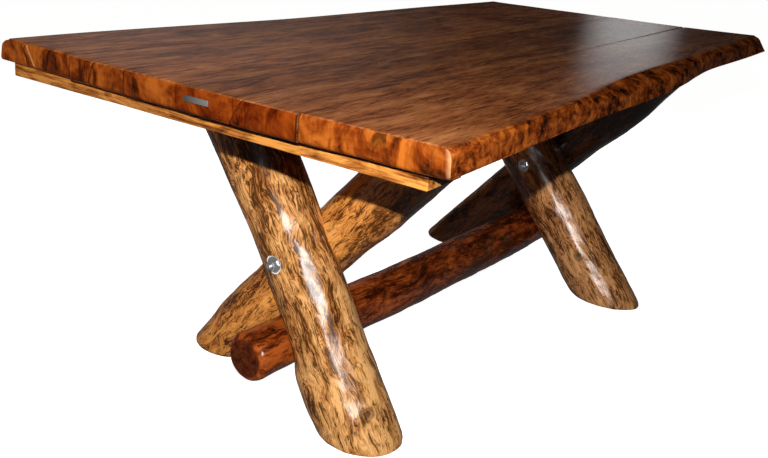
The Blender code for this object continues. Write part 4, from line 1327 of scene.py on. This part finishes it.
def set_all(name, rows, nodes, places, ring=False):
    """Sets one master at every (point, direction) place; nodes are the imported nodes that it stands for."""
    one = master("master_" + name, rows, ring)
    mesh = bpy.data.meshes.new(name)
    mesh.from_pydata([tuple(point) for point, _ in places], [], [])
    layer = mesh.attributes.new("aim", "FLOAT_VECTOR", "POINT")
    layer.data.foreach_set("vector", np.array([tuple(way) for _, way in places], dtype=np.float32).ravel())
    obj = run_tree(name, mesh, set_fasteners, {"Master": one, "Finish": zinc})
    fastener_nodes[name] = (obj, nodes)
    bpy.data.objects.remove(one)
    print(name, "set", len(places), "faces", len(obj.data.polygons))


washers = []
for place in ("near", "far"):
    bolt, nut = "cross_bolt_" + place, "cross_nut_" + place
    seat = box_face(bolt, 0, 1) - ALONG * BOLT_HEAD
    set_all("bolt_" + place, bolt_rows(seat.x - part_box(bolt)[0][0]), [bolt], [(seat, ALONG)])
    set_all("nut_" + place, nut_rows(), [nut], [(box_face(nut, 0, 1), -ALONG)], True)
    washers += [f"cross_washer_{place}_{end}" for end in ("nut", "head")]
set_all("washers", washer_rows(), washers, [(box_face(node, 0, 0), ALONG) for node in washers], True)

for group in ("head_lag_", "stretcher_lag_"):
    nodes = [group + key for key in "abcd"]
    places = [fastener_line(node) for node in nodes]
    head, outward = places[0]
    length = float(max((np.array(head) - node_points(nodes[0])) @ np.array(outward)))
    set_all(group + "screws", lag_rows(length), nodes, places)

for group in ("batten_screw_", "bearer_screw_"):
    nodes = sorted(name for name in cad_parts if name.startswith(group))
    low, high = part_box(nodes[-1])
    places = [(box_face(node, 2, 0), DOWN) for node in nodes]
    set_all(group + "set", screw_rows(high[2] - low[2]), nodes, places)

# %% [markdown]
# ## Countersinks and the plate
# The screw heads under the battens and bearers lie in shallow countersinks. The plate on the near end is a
# bare strip of metal: a box with rounded corners and a small bevel all round its face.

# %% Countersinks
SINK_RADIUS = 0.0058
SINK_DEPTH = 0.0008
for node, obj in sawn.items():
    kind, place = node.split("_")
    ways = []
    for name in sorted(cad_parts):
        if name.startswith(f"{kind}_screw_{place}"):
            face = box_face(name, 2, 0)
            ways.append((face - DOWN * SINK_DEPTH, face + DOWN * DRILL_REACH, SINK_RADIUS))
    drill(obj, ways)
    crisp(obj)
    print(obj.name, "countersinks", len(ways))

# %% Bare plate
PLATE_CORNER, CORNER_STEPS = 0.0016, 6
PLATE_BEVEL, BEVEL_STEPS = 0.0005, 3
ON_FACE = 1e-6
low, high = (Vector(corner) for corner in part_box("end_plate"))
shape = box_shape(low, high)
corners = [edge for edge in shape.edges if abs((edge.verts[0].co - edge.verts[1].co).normalized().x) > 0.9]
bmesh.ops.bevel(shape, geom=corners, offset=PLATE_CORNER, segments=CORNER_STEPS, profile=0.5, affect="EDGES")
front = [edge for edge in shape.edges if all(abs(vert.co.x - low.x) < ON_FACE for vert in edge.verts)]
bmesh.ops.bevel(shape, geom=front, offset=PLATE_BEVEL, segments=BEVEL_STEPS, profile=0.5, affect="EDGES")
plate = stand_shape("plate", shape)
crisp(plate)
material, shader, place = new_finish("brushed_plate_painted_reflection")
brushed = grain(place, (900.0, 60.0, 2600.0), 2.0, 0.5)
# The plate is painted darker at its left end and lighter towards the right: a painted reflection.
share = (high.y - part_of(place, "Y")) / (high.y - low.y) + (brushed - 0.5) * 0.5
tone = ramp(share, (0.05, (0.07, 0.07, 0.075)), (0.55, (0.15, 0.145, 0.14)), (1.0, (0.20, 0.19, 0.18)))
feed(shader, Base_Color=tone, Metallic=0.25, Roughness=0.42, Normal=bump(brushed, 0.0002, 0.3))
plate.data.materials.append(material)
fastener_nodes["plate"] = (plate, ["end_plate"])
print("plate faces", len(plate.data.polygons))

# %% [markdown]
# ## Floor and light
# A white floor and surround keep the eye on the wood. A small lamp by the camera throws the top's shadow on
# the legs, and soft fills reach the other sides. Gloss is lit apart: two panels put stripes on the logs and
# light nothing but the round pieces, and two stacks of cards, brighter towards their middles, lay a glare and
# a sheen on the top.

# %% Floor and world
DOME_LIGHT = 0.04
DOME_WARM = (1.0, 0.9, 0.8)
DOME_GLOSS = 0.02
FLOOR_GLOSS = 0.11
SEEN_WORLD = 1.0
FLOOR_SIZE = 60.0

scene.view_settings.view_transform = "Standard"
shape = bmesh.new()
bmesh.ops.create_grid(shape, x_segments=1, y_segments=1, size=FLOOR_SIZE / 2)
floor = stand_shape("floor", shape)
floor_finish, floor_shader, _ = new_finish("pale_floor")
feed(floor_shader, Base_Color=(0.80, 0.80, 0.80, 1.0), Roughness=0.9,
     Emission_Color=(1.0, 1.0, 1.0, 1.0), Emission_Strength=0.96)
floor.data.materials.append(floor_finish)
floor.visible_diffuse = False
floor.visible_glossy = False

world = bpy.data.worlds.new("studio")
scene.world = world
world.use_nodes = True
sky = world.node_tree
path = add(sky, "ShaderNodeLightPath").outputs
upward = part_of(wire(sky, "ShaderNodeTexCoord", output="Generated"), "Z")
above = ramp(upward + 0.5, (0.48, 0.0), (0.60, 1.0))
soft = mix(above, (0.0, 0.0, 0.0), tuple(DOME_LIGHT * part for part in DOME_WARM))
shine = mix(above, (FLOOR_GLOSS,) * 3, (DOME_GLOSS,) * 3)
lit = mix(Wire(path["Is Glossy Ray"]), soft, shine)
give(sky.nodes["Background"].inputs["Color"], mix(Wire(path["Is Camera Ray"]), lit, (SEEN_WORLD,) * 3))
print("floor and dome set")


# %% Studio lights
def studio_light(name, place, target, size, power, glossy):
    """A rectangular light that looks at a target; it gives either gloss or plain light, never both."""
    lamp = bpy.data.lights.new(name, "AREA")
    lamp.shape = "RECTANGLE"
    lamp.size, lamp.size_y = size
    lamp.energy = power
    obj = stand(name, lamp)
    obj.location = place
    obj.rotation_euler = (Vector(target) - Vector(place)).to_track_quat("-Z", "Y").to_euler()
    obj.visible_diffuse = not glossy
    obj.visible_glossy = glossy
    return obj


# Each stack of cards: name, place, target, smallest size, growth and strength.
CARDS = (
    ("glare_card", (4.06, 0.98, 1.24), (0.3, -0.25, 0.76), (0.20, 0.20), (0.48, 0.24), 37.0),
    ("sheen_card", (1.72, 3.30, 1.43), (-0.8, 0.2, 0.76), (0.0, 0.30), (4.4, 0.40), 6.5),
)
CARD_STEPS = 9
SMALLEST_CARD = 0.12
FADE_RATE, FADE_END = 2.0, 1.06
SLANT = math.radians(-34)
WARM = (1.0, 0.66, 0.42)
studio_light("key", (-1.90, -0.99, 1.20), (-0.4, 0.0, 0.45), (0.02, 0.02), 40.0, False)
strip = studio_light("strip", (-1.56, -1.70, 1.12), (-0.3, -0.1, 0.40), (0.90, 0.36), 17.0, True)
slant = studio_light("slant", (-1.95, -1.41, 0.87), (-0.55, -0.15, 0.41), (0.42, 0.80), 22.0, True)
slant.rotation_euler.rotate_axis("Z", SLANT)
rear_fill = studio_light("rear_fill", (2.4, 1.9, 0.75), (0.2, 0.0, 0.30), (1.2, 0.8), 26.0, False)
round_pieces = bpy.data.collections.new("round_pieces")
bolts = [fastener_nodes[name][0] for name in ("bolt_near", "bolt_far", "nut_near", "nut_far")]
for piece in [*logs.values(), stretcher, *bolts]:
    round_pieces.objects.link(piece)
for lamp in (strip, slant, rear_fill):
    lamp.light_linking.receiver_collection = round_pieces
for share in np.linspace(SMALLEST_CARD, 1.0, CARD_STEPS):
    fade = FADE_RATE * (FADE_END - share) / CARD_STEPS
    for name, spot, target, smallest, growth, power in CARDS:
        width, height = (low + more * share for low, more in zip(smallest, growth))
        studio_light(name, spot, target, (width, height), power * fade * width * height, True)
studio_light("back_fill", (2.5, 1.75, 0.55), (0.0, 0.0, 0.40), (1.6, 0.8), 36.0, False)
warm = studio_light("near_fill", (-1.25, 0.75, 0.25), (-0.45, -0.05, 0.50), (0.6, 0.4), 1.2, False)
warm.data.color = WARM

# %% [markdown]
# ## Hand the pieces to the part
# Every piece rides on the part's one body, and the imported nodes that it stands for are hidden.

# %% Ride and replace
for name, obj in planks.items():
    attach(obj, "root")
    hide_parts(name)
for name, obj in logs.items():
    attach(obj, "root")
    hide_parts(name)
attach(stretcher, "root")
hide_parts("stretcher_log")
for name, obj in sawn.items():
    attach(obj, "root")
    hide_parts(name)
for obj, nodes in fastener_nodes.values():
    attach(obj, "root")
    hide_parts(*nodes)
print("pieces", len(planks) + len(logs) + 1 + len(sawn) + len(fastener_nodes))
